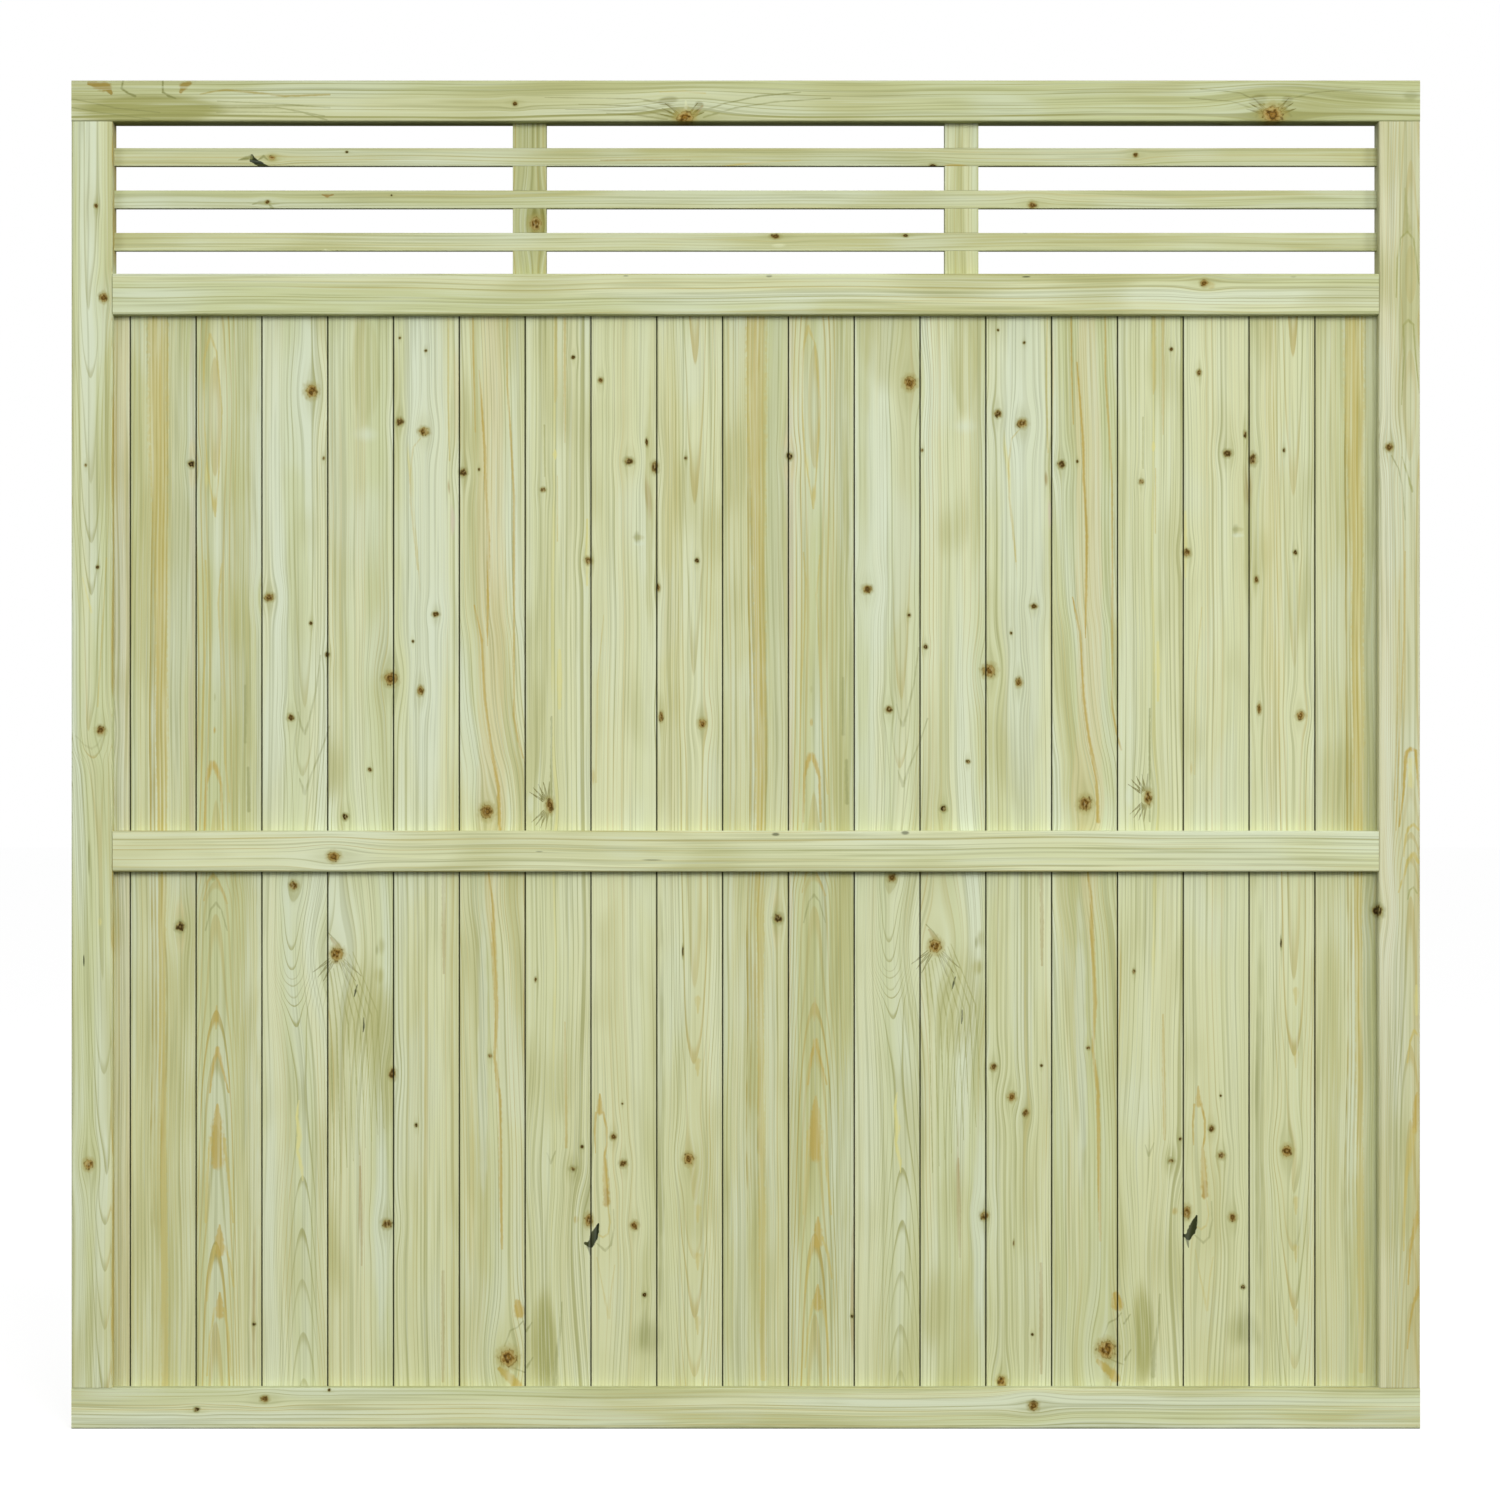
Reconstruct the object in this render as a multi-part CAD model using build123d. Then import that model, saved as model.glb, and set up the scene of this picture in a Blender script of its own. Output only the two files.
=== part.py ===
from build123d import *
import math
import os

# Privacy fence panel of treated softwood: a square frame of planed stock, tongue and
# groove boards below, an open band of slats above, and a rail across the boards.
# Millimetres. X runs along the panel, Y from its front (minus) to its back, Z is up.
# The origin is at the middle of the underside.

# Whole panel
PANEL_WIDTH = 1800.0
PANEL_HEIGHT = 1800.0

# Frame stock
STOCK_FACE = 55.0
STOCK_DEPTH = 44.0
ARRIS_RADIUS = 3.0

# Rail across the boards
MID_RAIL_FACE = 55.0

# Open band of slats, with the uprights that carry them
SLAT_BAND_HEIGHT = 203.0
SLAT_COUNT = 3
SLAT_HEIGHT = 24.0
SLAT_THICKNESS = 12.0
SLAT_ARRIS = 0.6
SLAT_ENTRY = 10.0
UPRIGHT_COUNT = 2
UPRIGHT_WIDTH = 45.0
UPRIGHT_DEPTH = 25.0

# Boards: the cover is the width that each one adds to the wall of boards
BOARD_SETBACK = 19.0
BOARD_THICKNESS = 12.0
BOARD_COVER = 88.1
BOARD_ARRIS = 0.7
BOARD_JOINT_GAP = 1.2
BOARD_ENTRY = 9.0
LAST_BOARD_ENTRY = 5.2
TONGUE_THICKNESS = 4.0
TONGUE_LENGTH = 6.0

# Grooves, tenons and mortises
GROOVE_DEPTH = 12.0
TENON_LENGTH = 35.0
TENON_SHOULDER = 8.0
STUB_TENON_LENGTH = 12.0
STUB_TENON_THICKNESS = 8.0
FIT = 0.15
END_CLEARANCE = 1.0

# Brads, driven from the back
BRAD_SHANK = 1.05
BRAD_WIRE = 1.25
BRAD_HEAD = 2.0
BRAD_HEAD_HEIGHT = 1.0
BRAD_POINT = 2.5
BRAD_SET = 0.5
BRAD_FIT = 0.05
BRAD_COVER = 6.0
BRAD_EDGE = 20.0
BOARD_BRAD_STAGGER = 14.0
JOINT_BRAD_SPACING = 18.0
SLAT_BRAD_SPACING = 20.0

# Faces of the frame
FRONT = -STOCK_DEPTH / 2
BACK = STOCK_DEPTH / 2
OUTER_X = PANEL_WIDTH / 2
INNER_X = OUTER_X - STOCK_FACE
BOTTOM_RAIL_TOP = STOCK_FACE
TOP_RAIL_UNDERSIDE = PANEL_HEIGHT - STOCK_FACE
SLAT_RAIL_TOP = TOP_RAIL_UNDERSIDE - SLAT_BAND_HEIGHT
SLAT_RAIL_UNDERSIDE = SLAT_RAIL_TOP - STOCK_FACE

# Boards, slats and uprights share one front, and the mid rail fills the space before it
BOARD_FRONT = FRONT + BOARD_SETBACK
BOARD_BACK = BOARD_FRONT + BOARD_THICKNESS
SLAT_BACK = BOARD_FRONT + SLAT_THICKNESS
UPRIGHT_BACK = BOARD_FRONT + UPRIGHT_DEPTH

LEFT = -1
RIGHT = 1


def middle(span):
    return (span[0] + span[1]) / 2


def length(span):
    return span[1] - span[0]


def about(centre, size):
    return (centre - size / 2, centre + size / 2)


def loosened(span, clearance):
    return (span[0] - clearance, span[1] + clearance)


def narrowed(span, margin):
    return (span[0] + margin, span[1] - margin)


def on_side(side, inner, outer):
    """A span of X on the left or right half, from two distances off the middle."""
    return tuple(sorted((side * inner, side * outer)))


# Spans that two or more pieces share
WHOLE_DEPTH = (FRONT, BACK)
CLEAR_WIDTH = (-INNER_X, INNER_X)
BOARD_PLANE = (BOARD_FRONT, BOARD_BACK)
SLAT_PLANE = (BOARD_FRONT, SLAT_BACK)
UPRIGHT_PLANE = (BOARD_FRONT, UPRIGHT_BACK)
BOARD_HEIGHTS = loosened((BOTTOM_RAIL_TOP, SLAT_RAIL_UNDERSIDE), BOARD_ENTRY)
SLAT_RAIL_HEIGHTS = (SLAT_RAIL_UNDERSIDE, SLAT_RAIL_TOP)
SLAT_RAIL_TENON_HEIGHTS = (SLAT_RAIL_UNDERSIDE + GROOVE_DEPTH, SLAT_RAIL_TOP - TENON_SHOULDER)
MID_RAIL_HEIGHTS = about((BOTTOM_RAIL_TOP + SLAT_RAIL_UNDERSIDE) / 2, MID_RAIL_FACE)
MID_RAIL_PLANE = (FRONT, BOARD_FRONT)
LOWER_STILE_TENON = (BOTTOM_RAIL_TOP - TENON_LENGTH, BOTTOM_RAIL_TOP)
UPPER_STILE_TENON = (TOP_RAIL_UNDERSIDE, TOP_RAIL_UNDERSIDE + TENON_LENGTH)
LOWER_STUB = (SLAT_RAIL_TOP - STUB_TENON_LENGTH, SLAT_RAIL_TOP)
UPPER_STUB = (TOP_RAIL_UNDERSIDE, TOP_RAIL_UNDERSIDE + STUB_TENON_LENGTH)


def slat_heights():
    """The heights of the slats, lowest first, with equal gaps over and under each."""
    gap = (SLAT_BAND_HEIGHT - SLAT_COUNT * SLAT_HEIGHT) / (SLAT_COUNT + 1)
    lows = [SLAT_RAIL_TOP + gap + i * (gap + SLAT_HEIGHT) for i in range(SLAT_COUNT)]
    return [(low, low + SLAT_HEIGHT) for low in lows]


def upright_widths():
    """The widths of the uprights, left first, which part the band into equal bays."""
    bay = (length(CLEAR_WIDTH) - UPRIGHT_COUNT * UPRIGHT_WIDTH) / (UPRIGHT_COUNT + 1)
    lefts = [-INNER_X + bay + i * (bay + UPRIGHT_WIDTH) for i in range(UPRIGHT_COUNT)]
    return [(left, left + UPRIGHT_WIDTH) for left in lefts]


def stile_tenon_width(side):
    return on_side(side, INNER_X + GROOVE_DEPTH, OUTER_X - TENON_SHOULDER)


def slat_rail_tenon_width(side):
    return on_side(side, INNER_X, INNER_X + TENON_LENGTH)


def mid_rail_stub(side):
    """The three spans of the short tenon at one end of the mid rail."""
    x = on_side(side, INNER_X, INNER_X + STUB_TENON_LENGTH)
    y = about(middle(MID_RAIL_PLANE), STUB_TENON_THICKNESS)
    return x, y, narrowed(MID_RAIL_HEIGHTS, TENON_SHOULDER)


def upright_stub(upright, heights):
    """The three spans of the short tenon at one end of an upright."""
    y = about(middle(UPRIGHT_PLANE), STUB_TENON_THICKNESS)
    return narrowed(upright, TENON_SHOULDER), y, heights


def block(x, y, z):
    """A square-edged block between three spans."""
    return Pos(middle(x), middle(y), middle(z)) * Box(length(x), length(y), length(z))


def mortise_along_x(x, y, z):
    """The cutter for a tenon that lies along X: a fit all round and room at its end."""
    return block(loosened(x, END_CLEARANCE), loosened(y, FIT), loosened(z, FIT))


def mortise_along_z(x, y, z):
    return block(loosened(x, FIT), loosened(y, FIT), loosened(z, END_CLEARANCE))


def lying_stock(x, y, z, radius):
    """Planed timber along X, with its four long edges rounded."""
    section = RectangleRounded(length(y), length(z), radius)
    return extrude(Plane.YZ.offset(x[0]) * Pos(middle(y), middle(z)) * section, length(x))


def standing_stock(x, y, z, radius):
    """Planed timber along Z, with its four long edges rounded."""
    section = RectangleRounded(length(x), length(y), radius)
    return extrude(Plane.XY.offset(z[0]) * Pos(middle(x), middle(y)) * section, length(z))


def end_rail(heights, stile_tenon):
    """A rail over or under the ends of the stiles, as long as the panel is wide."""
    rail = lying_stock((-OUTER_X, OUTER_X), WHOLE_DEPTH, heights, ARRIS_RADIUS)
    for side in (LEFT, RIGHT):
        rail -= mortise_along_z(stile_tenon_width(side), BOARD_PLANE, stile_tenon)
    return rail


def make_top_rail():
    rail = end_rail((TOP_RAIL_UNDERSIDE, PANEL_HEIGHT), UPPER_STILE_TENON)
    for upright in upright_widths():
        rail -= mortise_along_z(*upright_stub(upright, UPPER_STUB))
    return rail


def make_bottom_rail():
    """The groove for the boards runs on under the stiles, as far as their mortises."""
    rail = end_rail((0.0, BOTTOM_RAIL_TOP), LOWER_STILE_TENON)
    groove_heights = (BOTTOM_RAIL_TOP - GROOVE_DEPTH, BOTTOM_RAIL_TOP)
    return rail - block(loosened(CLEAR_WIDTH, GROOVE_DEPTH), loosened(BOARD_PLANE, FIT), groove_heights)


def make_stile(side):
    """A post of the frame, grooved for the boards and mortised for the rails and slats."""
    heights = (BOTTOM_RAIL_TOP, TOP_RAIL_UNDERSIDE)
    stile = standing_stock(on_side(side, INNER_X, OUTER_X), WHOLE_DEPTH, heights, ARRIS_RADIUS)
    for tenon in (LOWER_STILE_TENON, UPPER_STILE_TENON):
        stile += block(stile_tenon_width(side), BOARD_PLANE, tenon)
    groove_width = on_side(side, INNER_X, INNER_X + GROOVE_DEPTH)
    groove_heights = (BOTTOM_RAIL_TOP, SLAT_RAIL_TENON_HEIGHTS[0])
    stile -= block(groove_width, loosened(BOARD_PLANE, FIT), groove_heights)
    stile -= mortise_along_x(slat_rail_tenon_width(side), BOARD_PLANE, SLAT_RAIL_TENON_HEIGHTS)
    stile -= mortise_along_x(*mid_rail_stub(side))
    for heights in slat_heights():
        entry = on_side(side, INNER_X, INNER_X + SLAT_ENTRY)
        stile -= mortise_along_x(entry, SLAT_PLANE, heights)
    return stile


def make_slat_rail():
    """The rail between the boards and the slats, tenoned into both stiles."""
    rail = lying_stock(CLEAR_WIDTH, WHOLE_DEPTH, SLAT_RAIL_HEIGHTS, ARRIS_RADIUS)
    groove_heights = (SLAT_RAIL_UNDERSIDE, SLAT_RAIL_UNDERSIDE + GROOVE_DEPTH)
    rail -= block(CLEAR_WIDTH, loosened(BOARD_PLANE, FIT), groove_heights)
    for upright in upright_widths():
        rail -= mortise_along_z(*upright_stub(upright, LOWER_STUB))
    for side in (LEFT, RIGHT):
        rail += block(slat_rail_tenon_width(side), BOARD_PLANE, SLAT_RAIL_TENON_HEIGHTS)
    return rail


def make_mid_rail():
    """A thin rail over the face of the boards, level with the front of the frame."""
    section = Rectangle(length(MID_RAIL_PLANE), length(MID_RAIL_HEIGHTS))
    section = fillet(section.vertices().group_by(Axis.X)[0], ARRIS_RADIUS)
    placed = Plane.YZ.offset(-INNER_X) * Pos(middle(MID_RAIL_PLANE), middle(MID_RAIL_HEIGHTS)) * section
    rail = extrude(placed, length(CLEAR_WIDTH))
    for side in (LEFT, RIGHT):
        rail += block(*mid_rail_stub(side))
    return rail


def make_upright(upright):
    """A short post in the open band, housed out so that the slats lie flush in its front."""
    heights = (SLAT_RAIL_TOP, TOP_RAIL_UNDERSIDE)
    post = standing_stock(upright, UPRIGHT_PLANE, heights, SLAT_ARRIS)
    for stub in (LOWER_STUB, UPPER_STUB):
        post += block(*upright_stub(upright, stub))
    for slat in slat_heights():
        post -= block(upright, SLAT_PLANE, loosened(slat, FIT))
    return post


def make_slat(heights):
    return lying_stock(loosened(CLEAR_WIDTH, SLAT_ENTRY), SLAT_PLANE, heights, SLAT_ARRIS)


def board_lines():
    """The middles of the joints between boards, set out from the right-hand stile."""
    last = INNER_X + LAST_BOARD_ENTRY
    count = math.ceil((length(CLEAR_WIDTH) + LAST_BOARD_ENTRY) / BOARD_COVER)
    return [last - (count - i) * BOARD_COVER for i in range(1, count + 1)]


def flat(x, y):
    return Pos(middle(x), middle(y)) * Rectangle(length(x), length(y))


def make_board(left, right, grooved):
    """A board with a tongue on its right edge and, but for the first, a groove on its left."""
    section = chamfer(flat((left, right), BOARD_PLANE).vertices(), BOARD_ARRIS)
    core = middle(BOARD_PLANE)
    section += flat((right - BOARD_ARRIS, right + TONGUE_LENGTH), about(core, TONGUE_THICKNESS))
    if grooved:
        depth = TONGUE_LENGTH - BOARD_JOINT_GAP + END_CLEARANCE
        section -= flat((left, left + depth), loosened(about(core, TONGUE_THICKNESS), FIT))
    return extrude(Plane.XY.offset(BOARD_HEIGHTS[0]) * section, length(BOARD_HEIGHTS))


def brad(x, z, head_face, neck, tip, clearance):
    """One brad pointing to the front, or with a clearance the hole that it makes."""
    half_head = BRAD_HEAD / 2 + clearance
    half_shank = BRAD_SHANK / 2 + clearance
    outline = [
        (x, tip - clearance),
        (x + half_shank, tip + BRAD_POINT),
        (x + half_shank, neck - clearance),
        (x + half_head, neck - clearance),
        (x + half_head, head_face),
        (x - half_head, head_face),
        (x - half_head, neck - clearance),
        (x - half_shank, neck - clearance),
        (x - half_shank, tip + BRAD_POINT),
    ]
    heights = loosened(about(z, BRAD_WIRE), clearance)
    return extrude(Plane.XY.offset(heights[0]) * Polygon(*outline, align=None), length(heights))


def drive(names, x, z, face, tip):
    """Bore the named pieces for one brad that goes in at a back face, and give the brad."""
    head_face = face - BRAD_SET
    neck = head_face - BRAD_HEAD_HEIGHT
    for name in names:
        pieces[name] -= brad(x, z, face, neck, tip, BRAD_FIT)
    return brad(x, z, head_face, neck, tip, 0.0)


def drive_joint_brads():
    """Two brads through each tenon of the frame: rails to stiles, then the slat rail."""
    brads = []
    for side, stile in ((LEFT, "left_stile"), (RIGHT, "right_stile")):
        for rail, tenon in (("bottom_rail", LOWER_STILE_TENON), ("top_rail", UPPER_STILE_TENON)):
            for x in about(middle(stile_tenon_width(side)), JOINT_BRAD_SPACING):
                brads.append(drive((rail, stile), x, middle(tenon), BACK, FRONT + BRAD_COVER))
        for z in about(middle(SLAT_RAIL_TENON_HEIGHTS), JOINT_BRAD_SPACING):
            x = middle(slat_rail_tenon_width(side))
            brads.append(drive((stile, "slat_rail"), x, z, BACK, FRONT + BRAD_COVER))
    return brads


def drive_slat_brads():
    """Two brads through each upright into each slat."""
    brads = []
    for upright_number, upright in enumerate(upright_widths(), 1):
        for slat_number, heights in enumerate(slat_heights(), 1):
            names = (f"upright_{upright_number}", f"slat_{slat_number}")
            for x in about(middle(upright), SLAT_BRAD_SPACING):
                brads.append(drive(names, x, middle(heights), UPRIGHT_BACK, BOARD_FRONT + BRAD_COVER))
    return brads


def board_brad_places(showing):
    """Two staggered brads in a board, one in a narrow strip, from the width that shows."""
    z = middle(MID_RAIL_HEIGHTS)
    if length(showing) > 3 * BRAD_EDGE:
        return list(zip(narrowed(showing, BRAD_EDGE), about(z, 2 * BOARD_BRAD_STAGGER)))
    if length(showing) > BRAD_EDGE / 2:
        return [(middle(showing), z)]
    return []


def drive_board_brads():
    """Brads through the boards into the mid rail."""
    brads = []
    for number, right in enumerate(board_lines(), 1):
        showing = (max(right - BOARD_COVER, -INNER_X), min(right, INNER_X))
        for x, z in board_brad_places(showing):
            names = (f"board_{number:02d}", "mid_rail")
            brads.append(drive(names, x, z, BOARD_BACK, FRONT + BRAD_COVER))
    return brads


pieces = {
    "top_rail": make_top_rail(),
    "bottom_rail": make_bottom_rail(),
    "left_stile": make_stile(LEFT),
    "right_stile": make_stile(RIGHT),
    "slat_rail": make_slat_rail(),
    "mid_rail": make_mid_rail(),
}
for number, upright in enumerate(upright_widths(), 1):
    pieces[f"upright_{number}"] = make_upright(upright)
for number, heights in enumerate(slat_heights(), 1):
    pieces[f"slat_{number}"] = make_slat(heights)
for number, line in enumerate(board_lines(), 1):
    left = line - BOARD_COVER + BOARD_JOINT_GAP / 2
    if number == 1:
        left = -INNER_X - BOARD_ENTRY
    pieces[f"board_{number:02d}"] = make_board(left, line - BOARD_JOINT_GAP / 2, number > 1)

pieces["joint_brads"] = Compound(drive_joint_brads())
pieces["slat_brads"] = Compound(drive_slat_brads())
pieces["board_brads"] = Compound(drive_board_brads())

os.makedirs("parts", exist_ok=True)
for name, shape in pieces.items():
    export_step(shape, f"parts/{name}.step")
print(f"{len(pieces)} pieces, {len(board_lines())} boards")
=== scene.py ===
# %% [markdown]
# A privacy fence panel of pressure-treated softwood. The construction is already settled:
# this script loads it as a fixed frame, and gives every piece the look of the real timber.
# Everything is in metres. X runs along the panel, Y from its front to its back, Z is up.

# %% Load the frame
import math

import bmesh
import bpy
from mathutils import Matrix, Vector


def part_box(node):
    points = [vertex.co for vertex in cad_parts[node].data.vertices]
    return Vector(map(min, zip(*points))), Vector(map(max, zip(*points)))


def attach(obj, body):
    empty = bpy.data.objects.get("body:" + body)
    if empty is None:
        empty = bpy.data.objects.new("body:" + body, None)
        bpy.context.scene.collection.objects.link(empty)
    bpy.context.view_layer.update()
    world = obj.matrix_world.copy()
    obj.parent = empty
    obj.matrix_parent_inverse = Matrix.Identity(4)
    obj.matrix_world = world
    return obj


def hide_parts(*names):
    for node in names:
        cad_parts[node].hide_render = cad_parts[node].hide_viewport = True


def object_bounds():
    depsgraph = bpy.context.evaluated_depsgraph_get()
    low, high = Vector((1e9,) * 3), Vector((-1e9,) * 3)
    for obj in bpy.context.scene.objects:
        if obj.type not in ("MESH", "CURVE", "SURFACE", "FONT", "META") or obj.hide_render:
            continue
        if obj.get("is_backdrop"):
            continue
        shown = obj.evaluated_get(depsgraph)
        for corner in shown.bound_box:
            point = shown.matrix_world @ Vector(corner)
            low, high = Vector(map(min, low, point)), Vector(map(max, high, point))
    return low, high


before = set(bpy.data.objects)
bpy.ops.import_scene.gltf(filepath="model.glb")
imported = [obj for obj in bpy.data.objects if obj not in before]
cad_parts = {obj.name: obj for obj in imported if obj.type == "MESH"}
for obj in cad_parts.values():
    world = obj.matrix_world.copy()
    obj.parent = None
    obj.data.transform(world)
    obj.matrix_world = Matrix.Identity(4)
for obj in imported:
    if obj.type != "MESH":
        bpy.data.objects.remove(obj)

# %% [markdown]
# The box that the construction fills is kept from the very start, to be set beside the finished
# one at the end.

MM = 0.001
cad_low, cad_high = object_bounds()
print("construction box", [round(x, 4) for x in (*cad_low, *cad_high)])

# %% [markdown]
# The panel was seen straight from the front, from a little left of the middle and a little
# under half height. A long lens from six metres gives the same thin view of each edge, so the
# camera stands there, unturned, and the lens is shifted to put the panel where it is in the frame.

# %% Camera
CAMERA_PLACE = (-0.069, -6.172, 0.800)
CAMERA_LENS = 110.6
CAMERA_SHIFT_X = 0.0373
CAMERA_SHIFT_Y = 0.0530

camera_data = bpy.data.cameras.new("camera")
camera_data.lens = CAMERA_LENS
camera_data.shift_x = CAMERA_SHIFT_X
camera_data.shift_y = CAMERA_SHIFT_Y
camera = bpy.data.objects.new("camera", camera_data)
camera.location = CAMERA_PLACE
camera.rotation_euler = (math.pi / 2, 0, 0)
bpy.context.scene.collection.objects.link(camera)
bpy.context.scene.camera = camera
bpy.context.scene.view_settings.view_transform = "Standard"

# %% [markdown]
# Node trees read best when each line says what it computes, so a few helpers add a node, wire
# its inputs and hand back its output. The same helpers serve materials and Geometry Nodes.


# %% Helpers for node trees
def fill(tree, socket, value):
    """Wire a socket to an output, or set it to a plain value."""
    if isinstance(value, bpy.types.NodeSocket):
        tree.links.new(value, socket)
    else:
        socket.default_value = value


def add(tree, kind, inputs=None, **settings):
    """Add a node with its settings, and fill the inputs given by name or by number."""
    node = tree.nodes.new(kind)
    for name, value in settings.items():
        setattr(node, name, value)
    for key, value in (inputs or {}).items():
        fill(tree, node.inputs[key], value)
    return node


def maths(tree, operation, *values):
    return add(tree, "ShaderNodeMath", dict(enumerate(values)), operation=operation).outputs[0]


GIVE_A_NUMBER = ("LENGTH", "DISTANCE", "DOT_PRODUCT")


def vectors(tree, operation, *values):
    node = add(tree, "ShaderNodeVectorMath", dict(enumerate(values)), operation=operation)
    return node.outputs["Value" if operation in GIVE_A_NUMBER else "Vector"]


def scaled(tree, vector, amount):
    inputs = {"Vector": vector, "Scale": amount}
    return add(tree, "ShaderNodeVectorMath", inputs, operation="SCALE").outputs["Vector"]


def joined_vector(tree, x=0.0, y=0.0, z=0.0):
    return add(tree, "ShaderNodeCombineXYZ", {"X": x, "Y": y, "Z": z}).outputs[0]


def parts_of(tree, vector):
    return add(tree, "ShaderNodeSeparateXYZ", {0: vector}).outputs


def new_material(name):
    """A material without any nodes, and its tree."""
    material = bpy.data.materials.new(name)
    material.use_nodes = True
    material.node_tree.nodes.clear()
    return material, material.node_tree


def shown(tree, shader, kind="Material"):
    """Let a material, or the world, show a shader."""
    output = tree.nodes.new("ShaderNodeOutput" + kind)
    tree.links.new(shader, output.inputs["Surface"])


def surfaced(tree, base, roughness, height, relief, looks):
    """Close a material with its colour, roughness and relief, and its other looks."""
    bump = add(tree, "ShaderNodeBump", {"Height": height, **relief}).outputs["Normal"]
    inputs = {"Base Color": base, "Roughness": roughness, "Normal": bump, **looks}
    shown(tree, add(tree, "ShaderNodeBsdfPrincipled", inputs).outputs["BSDF"])


SOCKET_FORMS = {bool: "Bool", int: "Int", float: "Float"}


def new_group(name, kind, takes, gives):
    """A node group. Each input has a start value or, where it has none, the form of its socket."""
    tree = bpy.data.node_groups.new(name, kind)
    for label, value in takes.items():
        form = SOCKET_FORMS.get(type(value), value)
        socket = tree.interface.new_socket(label, in_out="INPUT", socket_type="NodeSocket" + form)
        if form != value:
            socket.default_value = value
    for label, form in gives.items():
        tree.interface.new_socket(label, in_out="OUTPUT", socket_type="NodeSocket" + form)
    given = tree.nodes.new("NodeGroupInput").outputs
    result = tree.nodes.new("NodeGroupOutput").inputs
    return tree, given, result


def grouped(tree, name, inputs):
    """Put a finished group to work, with its inputs given by name."""
    node = add(tree, "ShaderNodeGroup", node_tree=bpy.data.node_groups[name])
    for label, value in inputs.items():
        fill(tree, node.inputs[label], value)
    return node.outputs


# %% [markdown]
# Two more helpers speak of colour and of soft steps. Colours are written as on a paint card, and
# a soft step is what makes the edge of a stain or of a growth ring look grown and not cut.


# %% Helpers for colour
def ramp_between(tree, value, start, end, low=0.0, high=1.0):
    """A smooth step from low to high as the value goes from start to end."""
    inputs = {"Value": value, "From Min": start, "From Max": end, "To Min": low, "To Max": high}
    return add(tree, "ShaderNodeMapRange", inputs, interpolation_type="SMOOTHSTEP").outputs["Result"]


def blended(tree, factor, first, second):
    """The first colour, with a share of the second mixed in."""
    node = add(tree, "ShaderNodeMix", data_type="RGBA")
    for name, value in (("Factor_Float", factor), ("A_Color", first), ("B_Color", second)):
        socket = next(s for s in node.inputs if s.identifier == name)
        fill(tree, socket, value)
    return next(s for s in node.outputs if s.identifier == "Result_Color")


def colour(code):
    """A colour written as on a paint card, #rrggbb, as the linear numbers that a shader takes."""
    parts = [int(code[i:i + 2], 16) / 255 for i in (1, 3, 5)]
    return (*[c / 12.92 if c <= 0.04045 else ((c + 0.055) / 1.055) ** 2.4 for c in parts], 1.0)


def colour_ramp(tree, value, stops):
    """A colour for each value, through the stops, which reach from 0 to the last place."""
    reach = stops[-1][0]
    node = add(tree, "ShaderNodeValToRGB", {"Fac": maths(tree, "DIVIDE", value, reach)})
    elements = node.color_ramp.elements
    elements.remove(elements[-1])
    elements[0].color = colour(stops[0][1])
    for place, code in stops[1:]:
        elements.new(place / reach).color = colour(code)
    return node.outputs["Color"]


# %% [markdown]
# Growth rings are shells round the pith of the tree. A board is a slice of them, so the figure
# on its face, its edges and its ends comes from one solid pattern. This group takes the number
# of the ring that a point lies in, as a number that grows outward, and gives back the late wood:
# the dark band that closes each year, soft on its inside and sharp where the next year began.

# %% Late wood
RING_GROUP = "late wood"
YEARS_SCALE = 0.45
NEXT_YEAR = (1.0, 0.96)
STRENGTH_SPREAD = 0.6
STRENGTH_LEAST = 0.5


def make_ring_group():
    takes = {"Ring": 0.0, "Year drift": 1.5, "Late start": 0.6, "Late full": 0.95, "Seed": 0.0}
    gives = {"Late": "Float", "Strength": "Float"}
    tree, given, result = new_group(RING_GROUP, "ShaderNodeTree", takes, gives)
    # Good and bad years: the rings are not all of one width
    moved = maths(tree, "ADD", given["Ring"], given["Seed"])
    inputs = {"W": moved, "Scale": YEARS_SCALE, "Detail": 1.0}
    years = add(tree, "ShaderNodeTexNoise", inputs, noise_dimensions="1D").outputs["Fac"]
    count = maths(tree, "MULTIPLY_ADD", years, given["Year drift"], given["Ring"])
    share = maths(tree, "FRACT", count)
    slow_rise = ramp_between(tree, share, given["Late start"], given["Late full"])
    quick_end = ramp_between(tree, share, *NEXT_YEAR)
    own_year = maths(tree, "ADD", maths(tree, "FLOOR", count), given["Seed"])
    chance = add(tree, "ShaderNodeTexWhiteNoise", {"W": own_year}, noise_dimensions="1D").outputs["Value"]
    strength = maths(tree, "MULTIPLY_ADD", chance, STRENGTH_SPREAD, STRENGTH_LEAST)
    fill(tree, result["Late"], maths(tree, "MULTIPLY", slow_rise, quick_end))
    fill(tree, result["Strength"], strength)


make_ring_group()

# %% [markdown]
# A knot is a branch that the trunk grew round. The grain parts before it and closes behind it,
# so besides its own brown disc it bends the lines beside it and leaves a long stain above and
# below. This group does all three for one knot: it measures how far a point is from the knot in
# knot widths, keeps the nearest so far, and pulls the grain coordinates together so that the
# rings flow round. A timber chains as many as it has knots, and only then turns the nearest
# distance into colour, once for all of them.

# %% Knots
KNOT_GROUP = "knot"
KNOT_PULL_REACH = 0.12
PULL_SHAPE = (1.0, 1.0, 0.5)
SMUDGE_SHAPE = (0.5, 1.0, 0.2)
SMUDGE_EDGE = (1.3, 0.3)
INWARD = (-1.0, 0.0, 0.0)
FAR_FROM_KNOTS = 9.0


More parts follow.
